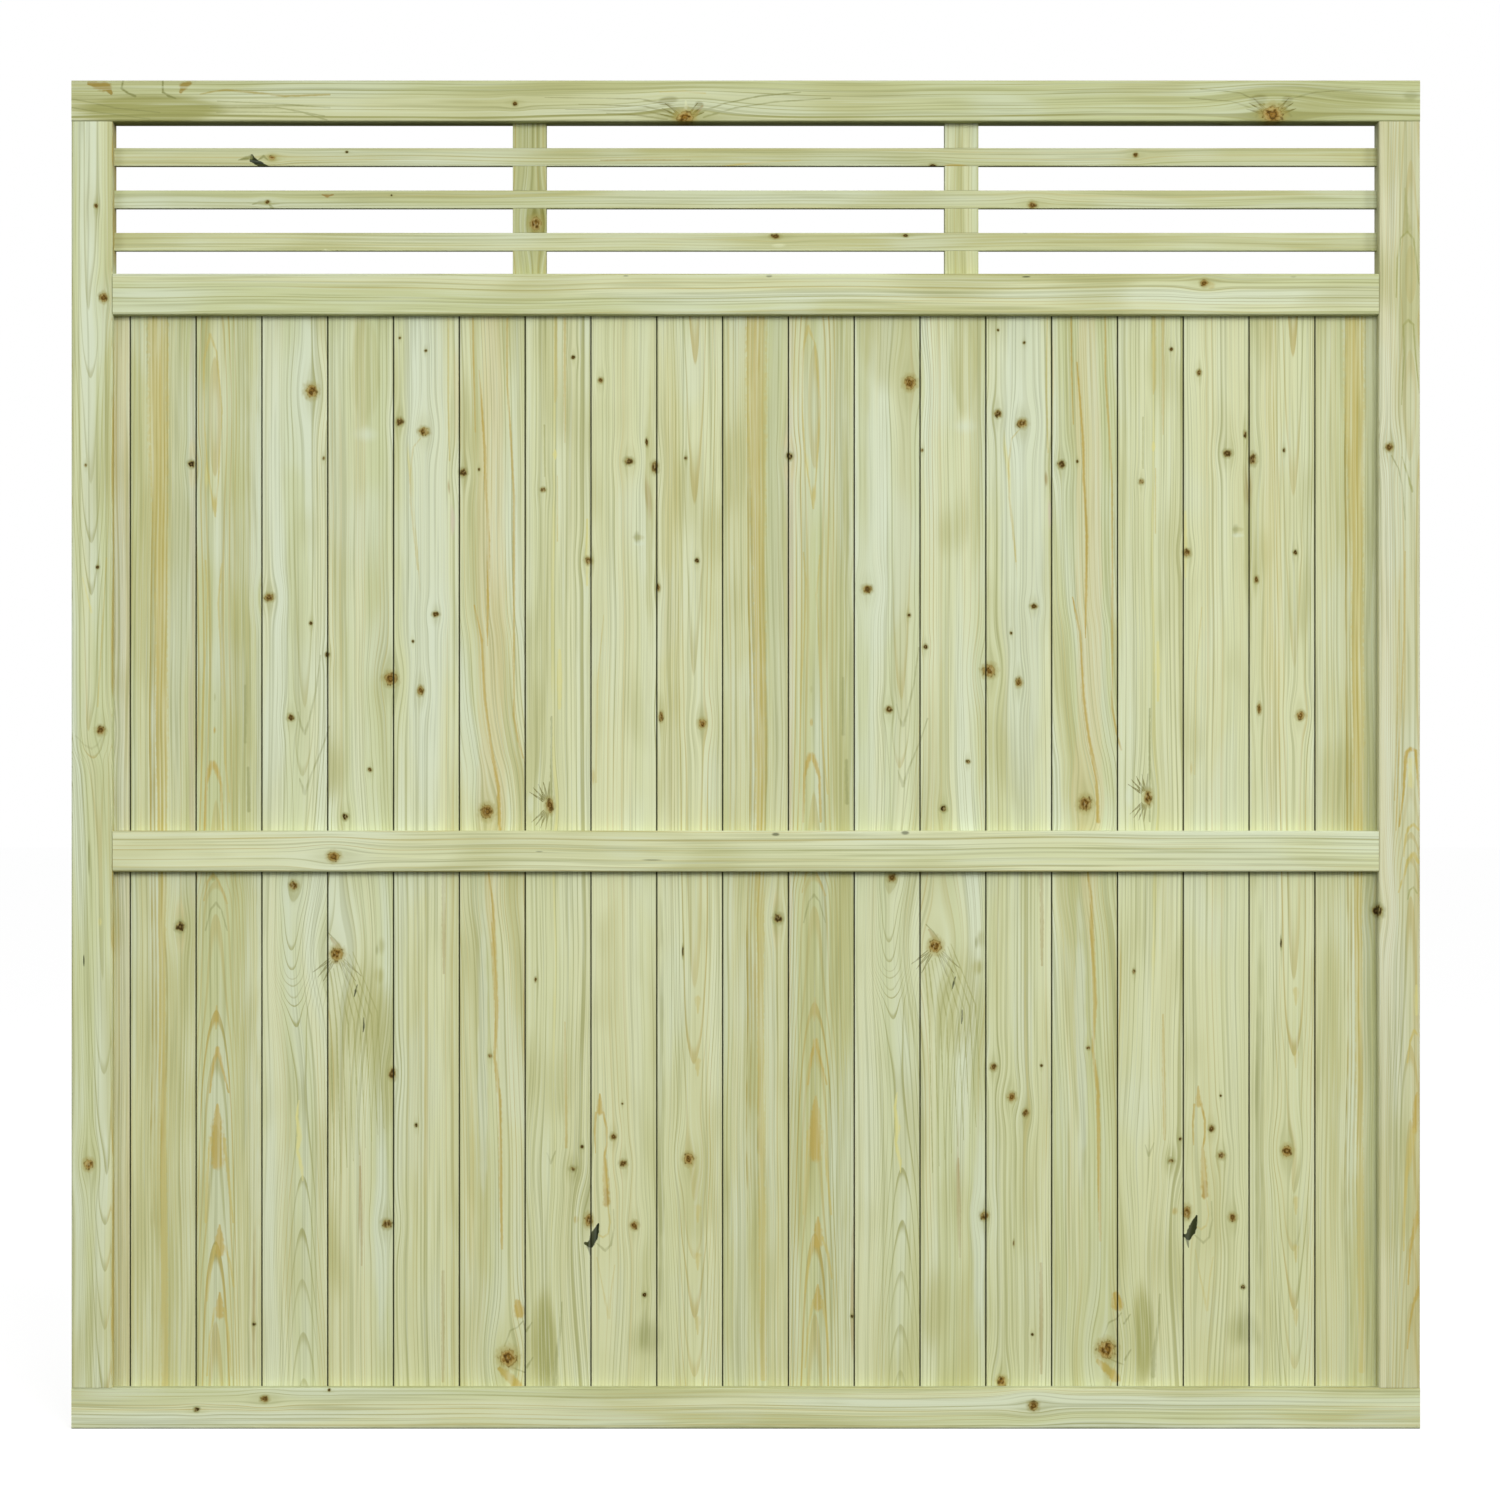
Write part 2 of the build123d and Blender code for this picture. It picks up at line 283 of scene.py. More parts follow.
def make_knot_group():
    takes = {
        "Grain": "Vector",
        "Nearness": FAR_FROM_KNOTS,
        "Smudge": 0.0,
        "Deadness": 0.0,
        "Place": "Vector",
        "Stretch": "Vector",
        "Dead": 0.0,
        "Pull": 0.8,
        "Stain": 0.25,
        "Faint": 0.0,
        "Unevenness": 0.0,
    }
    gives = {"Grain": "Vector", "Nearness": "Float", "Smudge": "Float", "Deadness": "Float"}
    tree, given, result = new_group(KNOT_GROUP, "ShaderNodeTree", takes, gives)
    offset = vectors(tree, "SUBTRACT", given["Grain"], given["Place"])
    in_widths = vectors(tree, "MULTIPLY", offset, given["Stretch"])
    blurred = maths(tree, "ADD", given["Faint"], given["Unevenness"])
    distance = maths(tree, "ADD", vectors(tree, "LENGTH", in_widths), blurred)
    drawn_out = vectors(tree, "LENGTH", vectors(tree, "MULTIPLY", in_widths, SMUDGE_SHAPE))
    pulled = vectors(tree, "MULTIPLY", in_widths, PULL_SHAPE)
    square = vectors(tree, "DOT_PRODUCT", pulled, pulled)
    reach = maths(tree, "EXPONENT", maths(tree, "MULTIPLY", square, -KNOT_PULL_REACH))
    pull = maths(tree, "MULTIPLY", reach, given["Pull"])
    bend = scaled(tree, offset, pull)
    closer = maths(tree, "LESS_THAN", distance, given["Nearness"])
    change = maths(tree, "SUBTRACT", given["Dead"], given["Deadness"])
    fill(tree, result["Grain"], vectors(tree, "MULTIPLY_ADD", bend, INWARD, given["Grain"]))
    fill(tree, result["Nearness"], maths(tree, "MINIMUM", distance, given["Nearness"]))
    own_smudge = maths(tree, "MULTIPLY", ramp_between(tree, drawn_out, *SMUDGE_EDGE), given["Stain"])
    fill(tree, result["Smudge"], maths(tree, "MAXIMUM", own_smudge, given["Smudge"]))
    fill(tree, result["Deadness"], maths(tree, "MULTIPLY_ADD", change, closer, given["Deadness"]))


make_knot_group()

# %% [markdown]
# Treated softwood is never one colour. Sapwood takes up the green salts and goes olive in
# streaks, resin shows honey or orange, and some bands stay nearly white. Each such streak is a
# long soft-edged patch laid along the grain, so one group serves them all with its own place,
# width, length, tint and strength. A narrow dark one serves as a pocket of bark.

# %% Streaks of colour
STREAK_GROUP = "streak"


def make_streak_group():
    takes = {
        "Colour": "Color",
        "Grain": "Vector",
        "Stretch": "Vector",
        "Shift": "Vector",
        "Core": 0.0,
        "Unevenness": 0.0,
        "Tint": "Color",
        "Strength": 0.5,
        "Soaked": 1.0,
    }
    tree, given, result = new_group(STREAK_GROUP, "ShaderNodeTree", takes, {"Colour": "Color"})
    in_widths = vectors(tree, "MULTIPLY_ADD", given["Grain"], given["Stretch"], given["Shift"])
    distance = maths(tree, "ADD", vectors(tree, "LENGTH", in_widths), given["Unevenness"])
    cover = ramp_between(tree, distance, given["Core"], 1.0, given["Strength"], 0.0)
    amount = maths(tree, "MULTIPLY", cover, given["Soaked"])
    fill(tree, result["Colour"], blended(tree, amount, given["Colour"], given["Tint"]))


make_streak_group()

# %% [markdown]
# The strongest lines wander too much for a streak. They are drawn as with a pen, from point to
# point with a width at each. The same pen serves the tips of flames, a pocket of bark and the dark
# arcs beside a knot. This group measures how far one stretch of a line is, in half widths.

# %% Pen lines
PEN_GROUP = "pen line"


def make_pen_group():
    takes = {
        "Grain": "Vector",
        "Nearness": FAR_FROM_KNOTS,
        "Start": "Vector",
        "Reach": "Vector",
        "Per length": "Vector",
        "Half width": 1 * MM,
        "Widening": 0.0,
    }
    tree, given, result = new_group(PEN_GROUP, "ShaderNodeTree", takes, {"Nearness": "Float"})
    offset = vectors(tree, "SUBTRACT", given["Grain"], given["Start"])
    dot = vectors(tree, "DOT_PRODUCT", offset, given["Per length"])
    share = add(tree, "ShaderNodeClamp", {"Value": dot}).outputs["Result"]
    away = vectors(tree, "DISTANCE", offset, scaled(tree, given["Reach"], share))
    half = maths(tree, "MULTIPLY_ADD", share, given["Widening"], given["Half width"])
    nearness = maths(tree, "MINIMUM", maths(tree, "DIVIDE", away, half), given["Nearness"])
    fill(tree, result["Nearness"], nearness)


make_pen_group()

# %% [markdown]
# The colours of the timber, as they would be on a paint card: the pale body of the wood, the
# tints that lie in it as streaks, the lines of the growth rings, and the browns of the knots.

# %% Palette
TINTS = {
    "cream": colour("#dce0b4"),
    "white": colour("#dde7cf"),
    "green": colour("#ced5a4"),
    "sage": colour("#c6cca4"),
    "olive": colour("#b9b97d"),
    "moss": colour("#8d9058"),
    "khaki": colour("#a5a666"),
    "straw": colour("#c6c68c"),
    "lemon": colour("#dcd890"),
    "honey": colour("#c8ba6e"),
    "resin": colour("#ad9f56"),
    "orange": colour("#c0a958"),
    "rust": colour("#a18d46"),
    "peach": colour("#d6ce9c"),
    "rose": colour("#d2c8b0"),
    "tan": colour("#a08448"),
    "umber": colour("#6d6626"),
    "bark": colour("#1c240d"),
}
LATE_OLIVE = colour("#a6a76c")
LATE_HONEY = colour("#b9a75c")
END_GRAIN = colour("#a9a877")
LIVE_KNOT = [
    (0.0, "#7a5a1e"),
    (0.18, "#97722c"),
    (0.36, "#573f14"),
    (0.5, "#8f6f2e"),
    (0.66, "#a58a48"),
    (0.86, "#b3a05e"),
    (0.98, "#857234"),
    (1.12, "#aca262"),
    (1.3, "#bdb67c"),
]
DEAD_KNOT = [
    (0.0, "#7d6a38"),
    (0.3, "#4a3916"),
    (0.55, "#211a09"),
    (0.75, "#4f431c"),
    (0.95, "#958a50"),
    (1.2, "#b4ac72"),
]
KNOT_PALE = colour("#c4b476")
KNOT_DARK = colour("#3f300f")

# %% [markdown]
# Sizes of knots and streaks were taken off the panel as with a tape: millimetres from its
# middle and from its foot. The boards were cut from stock whose figure comes round again every
# nine boards, so the wall's features are written once and laid again one run further on.

# %% Knots in the wall of boards
RUN_LENGTH = 0.8008
RUN_RISE = 0.0107
RUNS = (-1, 0, 1, 2)

# X, Z, half width, half height, deadness, pull on the grain, and then, where it isn't the usual
# one, its stain and how faint its disc is. The faintest have no disc and only turn the grain.
NO_DISC = 9.0
WALL_KNOTS = [
    (-742, 1289, 4.2, 4.4, 1.0, 0.7),
    (-757, 670, 5.5, 5.8, 0.9, 0.7),
    (-658, 138, 2.2, 2.4, 1.0, 0.3),
    (-581, 1387, 7.5, 8.5, 0.2, 0.85),
    (-638, 1111, 6.0, 5.0, 0.5, 0.8),
    (-609, 950, 4.2, 4.2, 0.7, 0.7),
    (-605, 725, 5.0, 5.2, 0.5, 0.8),
    (-565, 1297, 1.8, 2.2, 0.9, 0.4),
    (-582, 1076, 2.2, 2.4, 0.9, 0.5),
    (-560, 1034, 2.8, 3.0, 0.9, 0.6),
    (-475, 1002, 8.0, 8.0, 0.3, 0.9),
    (-503, 880, 2.6, 2.6, 0.8, 0.5),
    (-536, 817, 3.8, 4.0, 1.0, 0.6),
    (-547, 633, 8.0, 8.5, 0.15, 0.95),
    (-473, 473, 4.5, 7.0, 0.6, 0.8),
    (-480, 272, 6.0, 5.5, 0.6, 0.8),
    (-463, 1346, 4.5, 4.8, 0.7, 0.8),
    (-431, 1333, 6.5, 5.5, 0.4, 0.8),
    (-415, 1088, 4.2, 3.2, 0.7, 0.7),
    (-437, 986, 5.0, 5.5, 0.4, 0.8),
    (-463, 1458, 1.6, 1.6, 0.8, 0.3),
    (-428, 1441, 1.8, 1.8, 0.9, 0.3),
    (-447, 1052, 1.9, 1.9, 0.9, 0.4),
    (-441, 404, 2.2, 2.6, 1.0, 0.4),
    (-378, 1278, 4.6, 4.8, 0.8, 0.8),
    (-358, 1282, 2.0, 2.0, 0.8, 0.5),
    (-346, 824, 8.0, 9.0, 0.3, 0.8),
    (-342, 497, 2.4, 2.4, 0.7, 0.6),
    (-318, 93, 11.0, 11.5, 0.1, 0.9),
    (-231, 1432, 2.4, 2.4, 0.8, 0.6),
    (-271, 1255, 3.2, 3.2, 0.7, 0.5),
    (-281, 599, 1.8, 3.0, 0.8, 0.4),
    (-219, 375, 2.2, 2.2, 0.9, 0.4),
    (-210, 1160, 4.6, 4.6, 0.5, 0.7),
    (-262, 832, 5.0, 9.0, 0.4, 0.9),
    (-231, 346, 6.0, 4.5, 0.8, 0.5, 0.5, 0.5),
    (-210, 277, 5.0, 8.0, 0.25, 0.8),
    (-194, 1401, 3.0, 3.6, 0.6, 0.6),
    (-156, 1293, 5.5, 4.5, 0.8, 0.7),
    (-133, 1318, 2.2, 4.5, 0.8, 0.4),
    (-122, 1285, 4.6, 7.0, 0.7, 0.8),
    (-177, 389, 3.6, 4.2, 0.6, 0.7),
    (-164, 353, 4.6, 4.6, 0.6, 0.7),
    (-149, 270, 4.8, 5.2, 0.4, 0.7),
    (-135, 177, 2.8, 3.0, 1.0, 0.5),
    (-165, 433, 1.4, 1.4, 0.9, 0.2),
    (-80, 1297, 1.8, 2.4, 0.9, 0.4),
    (-65, 1160, 2.6, 3.0, 0.9, 0.5),
    (-117, 1124, 2.8, 4.4, 0.6, 0.6),
    (-58, 942, 5.0, 5.4, 0.2, 0.9),
    (-113, 951, 2.8, 6.0, 0.4, 0.8),
    (-76, 359, 6.4, 7.2, 0.15, 0.95),
    (-84, 637, 1.1, 7.0, 1.0, 0.2),
    (-547, 640, 20, 24, 0.0, 0.8, 0.0, NO_DISC),
    (-200, 262, 16, 30, 0.0, 0.7, 0.0, NO_DISC),
    (-262, 353, 12, 16, 0.0, 0.6, 0.0, NO_DISC),
]

# %% [markdown]
# The lower half of one board breaks the run: it was cut from another length and has knots of
# its own. They are laid on it alone, and the run's own marks stop above it.

# %% Knots on one board only
OWN_BOARD = 15
OWN_KNOTS_TOP = 0.52
OWN_KNOTS = [
    (332, 482, 4.0, 4.5, 0.6, 0.8),
    (356, 442, 5.0, 5.5, 0.3, 0.9),
    (373, 421, 4.5, 5.0, 0.5, 0.9),
    (396, 484, 1.8, 1.8, 1.0, 0.4),
    (343, 61, 6.0, 6.5, 0.2, 0.9),
    (384, 124, 1.8, 1.8, 1.0, 0.4),
    (359, 246, 1.2, 4.0, 0.9, 0.2),
    (321, 283, 4.0, 5.0, 0.5, 0.8),
]

# %% [markdown]
# The streaks follow: honey and orange lines where resin collected, olive where the salts went
# deepest, white and rose where they hardly went in at all, and a pocket of bark.

# %% Streaks in the wall of boards
# X, Z, half width, half height, firm core, tint, strength, and lean where it isn't upright
WALL_STREAKS = [
    (-796, 973, 1.6, 857, 0.5, "resin", 0.95),
    (-791, 892, 1.5, 857, 0.5, "resin", 0.7),
    (-786, 1053, 2.2, 857, 0.4, "orange", 0.6),
    (-781, 973, 1.6, 803, 0.5, "resin", 1.0),
    (-776, 1053, 1.8, 830, 0.4, "resin", 0.7),
    (-760, 1160, 13.4, 455, 0.4, "sage", 0.7),
    (-741, 1107, 5.4, 670, 0.3, "rose", 0.5),
    (-780, 209, 21.4, 161, 0.3, "olive", 0.5),
    (-779, 424, 1.9, 121, 0.2, "tan", 0.45),
    (-742, 1309, 4.8, 17, 0.2, "peach", 0.7),
    (-742, 1270, 4.8, 19, 0.2, "peach", 0.7),
    (-757, 694, 5.4, 19, 0.2, "peach", 0.6),
    (-757, 645, 5.4, 21, 0.2, "peach", 0.6),
    (-677, 973, 17.4, 870, 0.5, "olive", 0.35),
    (-667, 1160, 6.0, 362, 0.3, "olive", 0.6),
    (-667, 209, 6.0, 147, 0.3, "olive", 0.5),
    (-653, 973, 4.7, 803, 0.4, "white", 0.5),
    (-630, 1241, 12.1, 268, 0.4, "white", 0.5),
    (-508, 1415, 21.4, 83, 0.7, "olive", 0.5),
    (-508, 1329, 24.0, 14, 0.0, "white", 0.6),
    (-510, 638, 4.0, 11, 0.2, "moss", 0.6),
    (-503, 604, 4.0, 11, 0.2, "moss", 0.6),
    (-487, 263, 12.1, 201, 0.4, "white", 0.6),
    (-516, 313, 2.0, 96, 0.2, "tan", 0.6),
    (-429, 1214, 37.5, 509, 0.6, "white", 0.7),
    (-449, 1281, 4.0, 54, 0.2, "lemon", 0.7, -0.08),
    (-441, 1180, 1.7, 67, 0.2, "honey", 0.7, -0.08),
    (-397, 1258, 3.3, 14, 0.2, "tan", 0.7),
    (-394, 1214, 2.7, 30, 0.2, "rose", 0.6),
    (-341, 1107, 20.1, 536, 0.75, "peach", 0.65),
    (-297, 571, 2.0, 136, 0.3, "orange", 0.7),
    (-353, 500, 9.0, 240, 0.5, "white", 0.6),
    (-368, 300, 5.0, 200, 0.3, "honey", 0.35),
    (-710, 1238, 4.7, 19, 0.3, "honey", 0.9),
    (-720, 1274, 4.0, 25, 0.2, "lemon", 0.6),
    (-711, 736, 5.0, 7, 0.4, "khaki", 0.8),
    (-669, 424, 2.0, 110, 0.3, "sage", 0.8),
    (-658, 160, 3.0, 115, 0.4, "tan", 0.55),
    (-428, 460, 2.5, 340, 0.3, "honey", 0.4),
    (-255, 973, 2.9, 803, 0.3, "lemon", 0.6),
    (-712, 933, 3.2, 8, 0.4, "orange", 0.9),
    (-712, 977, 3.0, 8, 0.3, "khaki", 0.4),
    (-268, 114, 27.0, 84, 0.5, "olive", 1.0, 0.05),
    (-265, 112, 20.0, 74, 0.4, "khaki", 0.7, 0.05),
    (-502, 644, 11.0, 16, 0.2, "khaki", 0.5),
    (-506, 605, 15.0, 15, 0.2, "olive", 0.7),
    (-285, 835, 8.0, 19, 0.3, "white", 0.5),
    (-127, 1230, 8.0, 268, 0.4, "olive", 0.6),
    (-127, 1247, 5.4, 35, 0.3, "tan", 0.5),
    (-141, 1191, 12.1, 4, 0.3, "olive", 0.5),
    (-141, 1183, 12.1, 4, 0.3, "white", 0.5),
    (-203, 870, 4.0, 16, 0.2, "orange", 0.5),
    (-149, 118, 22.0, 34, 0.2, "khaki", 0.45),
    (-141, 129, 13.4, 40, 0.3, "moss", 0.35),
    (-98, 1107, 18.7, 536, 0.4, "honey", 0.3),
    (-113, 397, 6.0, 348, 0.4, "moss", 0.45),
    (-212, 278, 5.4, 7, 0.3, "orange", 0.7),
    (-144, 1191, 6.0, 10, 0.2, "moss", 0.5),
    (-524, 560, 34.0, 90, 0.4, "olive", 0.6),
    (-498, 500, 14.0, 110, 0.3, "khaki", 0.4),
    (-130, 120, 24.0, 30, 0.3, "moss", 0.35),
    (-392, 1211, 3.5, 24, 0.3, "rose", 0.8),
    (-388, 1381, 5.0, 102, 0.4, "peach", 0.6),
]

# %% [markdown]
# And what the pen draws: the outlines and tips of the flames, the lines beside the knots, a
# pocket of bark on a joint, the fans of strokes beside knots, and the combed grain below one.

# %% Pen lines in the wall of boards
# Tint, strength, firm core, and the points, each with its X, its Z and its half width
WALL_PEN_LINES = [
    ("honey", 0.6, 0.85, [
        (-787, 1484, 12.1), (-786, 1321, 11.4), (-783, 1160, 7.4), (-781, 892, 6.7), (-781, 745, 4.7),
        (-781, 571, 4.0), (-777, 55, 4.0),
    ]),
    ("honey", 0.75, 0.2, [
        (-710, 1219, 1.3), (-720, 1281, 1.3), (-725, 1348, 1.3), (-725, 1428, 1.6), (-717, 1463, 2.1),
        (-708, 1439, 1.6), (-701, 1361, 1.3), (-705, 1281, 1.3), (-710, 1219, 1.3),
    ]),
    ("honey", 0.7, 0.2, [
        (-723, 1160, 1.1), (-720, 1120, 1.5), (-722, 1053, 1.1), (-726, 994, 1.3), (-728, 918, 1.3),
        (-729, 839, 1.1),
    ]),
    ("honey", 0.7, 0.2, [
        (-701, 1156, 1.3), (-704, 1125, 1.6), (-706, 1103, 1.6), (-702, 1032, 1.3), (-700, 966, 1.3),
        (-697, 895, 1.3), (-691, 837, 1.3),
    ]),
    ("orange", 0.9, 0.3, [
        (-724, 800, 1.7), (-722, 860, 2.0), (-718, 880, 3.7), (-713, 888, 4.8), (-708, 880, 3.7),
        (-702, 860, 2.0), (-700, 800, 1.7),
    ]),
    ("orange", 0.6, 0.2, [
        (-725, 705, 1.3), (-720, 730, 1.6), (-713, 740, 2.7), (-705, 730, 1.6), (-694, 701, 1.3),
    ]),
    ("moss", 0.5, 0.2, [
        (-723, 665, 1.1), (-716, 693, 1.3), (-709, 702, 1.9), (-702, 693, 1.3), (-694, 665, 1.1),
    ]),
    ("orange", 0.6, 0.3, [(-708, 564, 1.3), (-708, 547, 2.4), (-709, 533, 0.9)]),
    ("orange", 0.85, 0.3, [
        (-717, 448, 1.2), (-713, 483, 2.0), (-707, 507, 3.2), (-701, 483, 2.0), (-692, 448, 1.2),
    ]),
    ("orange", 0.9, 0.5, [(-707, 432, 1.3), (-707, 410, 6.0), (-708, 384, 9.4), (-707, 353, 8.0)]),
    ("honey", 0.8, 0.3, [(-716, 386, 2.7), (-720, 350, 2.1), (-723, 274, 1.5)]),
    ("honey", 0.8, 0.3, [(-698, 386, 2.7), (-693, 343, 2.1), (-689, 303, 1.6), (-686, 274, 1.3)]),
    ("orange", 0.9, 0.5, [(-704, 270, 1.3), (-704, 252, 5.4), (-704, 235, 6.7)]),
    ("honey", 0.8, 0.3, [(-710, 243, 2.1), (-717, 203, 1.6), (-721, 169, 1.1)]),
    ("honey", 0.8, 0.3, [(-698, 243, 2.1), (-690, 220, 1.9), (-685, 188, 1.3)]),
    ("orange", 0.85, 0.5, [(-704, 180, 1.3), (-704, 165, 4.7), (-704, 150, 5.4)]),
    ("honey", 0.75, 0.3, [(-710, 159, 2.0), (-717, 122, 1.6), (-721, 69, 1.1)]),
    ("honey", 0.75, 0.3, [(-698, 159, 2.0), (-692, 122, 1.6), (-688, 69, 1.1)]),
    ("moss", 0.5, 0.2, [(-670, 992, 2.0), (-670, 917, 2.4)]),
    ("moss", 0.6, 0.2, [(-666, 882, 2.1), (-665, 825, 2.7)]),
    ("moss", 0.45, 0.2, [
        (-599, 957, 1.1), (-595, 938, 1.6), (-590, 929, 2.7), (-585, 943, 1.7), (-575, 986, 1.5),
        (-569, 1033, 1.1),
    ]),
    ("moss", 0.45, 0.2, [
        (-597, 868, 1.1), (-590, 848, 2.7), (-582, 872, 1.6), (-567, 908, 1.3), (-557, 938, 1.1),
    ]),
    ("lemon", 1.0, 0.4, [
        (-598, 437, 1.1), (-601, 416, 1.9), (-597, 390, 3.5), (-600, 370, 2.1), (-594, 346, 2.7),
        (-593, 330, 0.8),
    ]),
    ("bark", 1.0, 0.3, [(-520, 592, 0.7), (-522, 584, 1.5), (-524, 576, 0.5)]),
    ("bark", 1.0, 0.3, [(-511, 548, 0.5), (-511, 536, 1.3), (-512, 529, 0.5)]),
    ("tan", 0.6, 0.3, [(-555, 655, 1.6), (-548, 646, 4.3), (-543, 638, 2.7)]),
    ("moss", 0.7, 0.3, [(-559, 662, 0.8), (-550, 653, 0.9), (-542, 642, 0.8)]),
    ("tan", 0.5, 0.2, [(-516, 349, 1.2), (-514, 283, 1.7), (-514, 217, 1.3)]),
    ("tan", 0.5, 0.4, [(-405, 748, 2.1), (-404, 665, 2.5), (-404, 608, 1.6)]),
    ("tan", 0.45, 0.4, [(-405, 208, 2.0), (-405, 129, 2.4), (-405, 61, 1.6)]),
    ("honey", 0.6, 0.2, [
        (-435, 1324, 1.1), (-445, 1312, 1.3), (-449, 1273, 1.5), (-448, 1235, 1.5), (-439, 1148, 1.1),
    ]),
    ("honey", 0.6, 0.2, [(-397, 1484, 1.3), (-398, 1375, 1.6), (-396, 1294, 1.3)]),
    ("orange", 1.0, 0.3, [
        (-357, 1415, 0.8), (-354, 1376, 1.5), (-349, 1309, 1.9), (-348, 1259, 1.9), (-344, 1186, 2.1),
        (-345, 1107, 1.9), (-346, 1046, 0.8),
    ]),
    ("orange", 0.9, 0.3, [(-365, 1484, 1.2), (-364, 1401, 1.3), (-362, 1332, 0.8)]),
    ("orange", 1.0, 0.3, [
        (-363, 1100, 0.9), (-353, 1052, 1.8), (-349, 973, 2.1), (-341, 911, 2.1), (-331, 858, 2.4),
        (-329, 800, 2.4),
    ]),
    ("orange", 0.8, 0.3, [
        (-319, 1484, 1.3), (-319, 1396, 1.3), (-314, 1322, 1.6), (-310, 1247, 1.6), (-310, 951, 1.5),
        (-304, 918, 1.5), (-298, 896, 1.3),
    ]),
    ("orange", 0.9, 0.35, [
        (-344, 742, 1.2), (-338, 697, 1.9), (-337, 643, 3.2), (-333, 558, 2.9), (-336, 495, 2.1),
        (-329, 438, 2.7), (-328, 330, 2.5), (-326, 239, 1.6),
    ]),
    ("orange", 1.0, 0.6, [(-305, 167, 4.0), (-303, 157, 6.7), (-303, 152, 6.7)]),
    ("moss", 0.6, 0.2, [(-298, 142, 1.1), (-305, 134, 1.3), (-315, 129, 1.5), (-323, 108, 0.8)]),
    ("moss", 0.6, 0.2, [(-314, 81, 1.3), (-305, 77, 1.3), (-295, 73, 1.1)]),
    ("orange", 1.0, 0.6, [(-329, 78, 2.7), (-321, 71, 5.4), (-313, 63, 6.0), (-305, 55, 6.0)]),
    ("lemon", 1.0, 0.4, [(-255, 1308, 1.1), (-255, 1302, 3.2), (-255, 1296, 1.1)]),
    ("honey", 0.7, 0.2, [(-252, 1273, 0.9), (-252, 1230, 1.2), (-252, 1186, 0.9)]),
    ("lemon", 0.9, 0.3, [(-212, 1215, 1.3), (-212, 1172, 2.9), (-212, 1127, 1.3)]),
    ("moss", 0.8, 0.3, [(-260, 951, 1.3), (-260, 875, 1.6), (-260, 800, 1.3)]),
    ("lemon", 0.8, 0.3, [(-249, 1040, 2.1), (-249, 1000, 4.2), (-249, 962, 2.1)]),
    ("moss", 0.5, 0.3, [(-246, 167, 1.3), (-248, 129, 1.9), (-254, 89, 2.9), (-255, 57, 3.5)]),
    ("moss", 0.6, 0.2, [(-286, 140, 1.1), (-294, 128, 1.7)]),
    ("moss", 0.6, 0.2, [(-285, 93, 1.1), (-293, 80, 2.0)]),
    ("moss", 0.45, 0.2, [(-266, 367, 0.8), (-261, 353, 2.0), (-254, 370, 0.8)]),
    ("honey", 0.6, 0.3, [(-254, 1484, 2.9), (-254, 1381, 2.7), (-255, 1372, 0.8)]),
    ("orange", 0.6, 0.3, [(-242, 1484, 2.1), (-242, 1348, 2.0), (-242, 1318, 0.7)]),
    ("khaki", 0.7, 0.2, [(-269, 1341, 1.3), (-269, 1273, 1.3)]),
    ("orange", 0.6, 0.3, [(-242, 542, 1.1), (-241, 464, 2.4), (-240, 375, 2.0)]),
    ("orange", 0.95, 0.4, [(-195, 446, 0.8), (-195, 432, 3.2), (-195, 422, 4.3)]),
    ("orange", 0.8, 0.3, [(-200, 421, 1.6), (-202, 397, 1.3), (-201, 367, 0.7)]),
    ("orange", 0.95, 0.4, [
        (-191, 421, 1.7), (-186, 400, 1.5), (-186, 377, 1.2), (-189, 363, 1.9), (-188, 347, 3.5),
        (-187, 327, 4.3), (-186, 299, 4.6),
    ]),
    ("tan", 0.5, 0.4, [(-186, 317, 3.2), (-186, 299, 3.7)]),
    ("honey", 0.6, 0.2, [
        (-184, 294, 1.3), (-181, 274, 1.3), (-184, 259, 1.6), (-191, 254, 1.6), (-199, 259, 1.1),
    ]),
    ("moss", 0.45, 0.2, [
        (-177, 291, 1.1), (-176, 266, 1.3), (-180, 244, 1.6), (-188, 236, 2.0), (-199, 246, 1.2),
    ]),
    ("honey", 0.5, 0.2, [
        (-199, 227, 0.9), (-191, 185, 1.2), (-183, 146, 2.4), (-180, 183, 1.2), (-175, 217, 0.9),
    ]),
    ("bark", 3.0, 0.6, [
        (-197, 272, 1.1), (-200, 263, 3.5), (-204, 252, 4.6), (-208, 244, 3.5), (-214, 246, 1.6),
    ]),
    ("bark", 1.0, 0.3, [(-210, 242, 2.7), (-208, 230, 0.8)]),
    ("honey", 0.5, 0.2, [(-190, 1087, 0.9), (-198, 996, 1.3), (-200, 863, 1.3)]),
]
WEDGE_MIDDLE = -64
WEDGE_TIPS = (554, 470, 274, 210, 124)
WEDGE_SHAPE = [(0, 20, 4.5), (0, 0, 0.8)]


def repeated(tint, strength, core, middle, heights, shape):
    """The same small drawing at several heights."""
    return [
        (tint, strength, core, [(middle + x, bottom + z, half) for x, z, half in shape])
        for bottom in heights
    ]


WALL_PEN_LINES += repeated("honey", 0.6, 0.3, WEDGE_MIDDLE, WEDGE_TIPS, WEDGE_SHAPE)

# X, Z, where the strokes start and end, first and last direction clockwise from up, strokes, strength
WALL_FANS = [
    (-264, 834, 8, 30, -65, 10, 5, 0.9),
    (-264, 830, 8, 30, 180, 235, 4, 0.8),
    (-547, 633, 12, 44, 125, 165, 3, 0.7),
    (-547, 633, 12, 40, 200, 240, 3, 0.7),
]


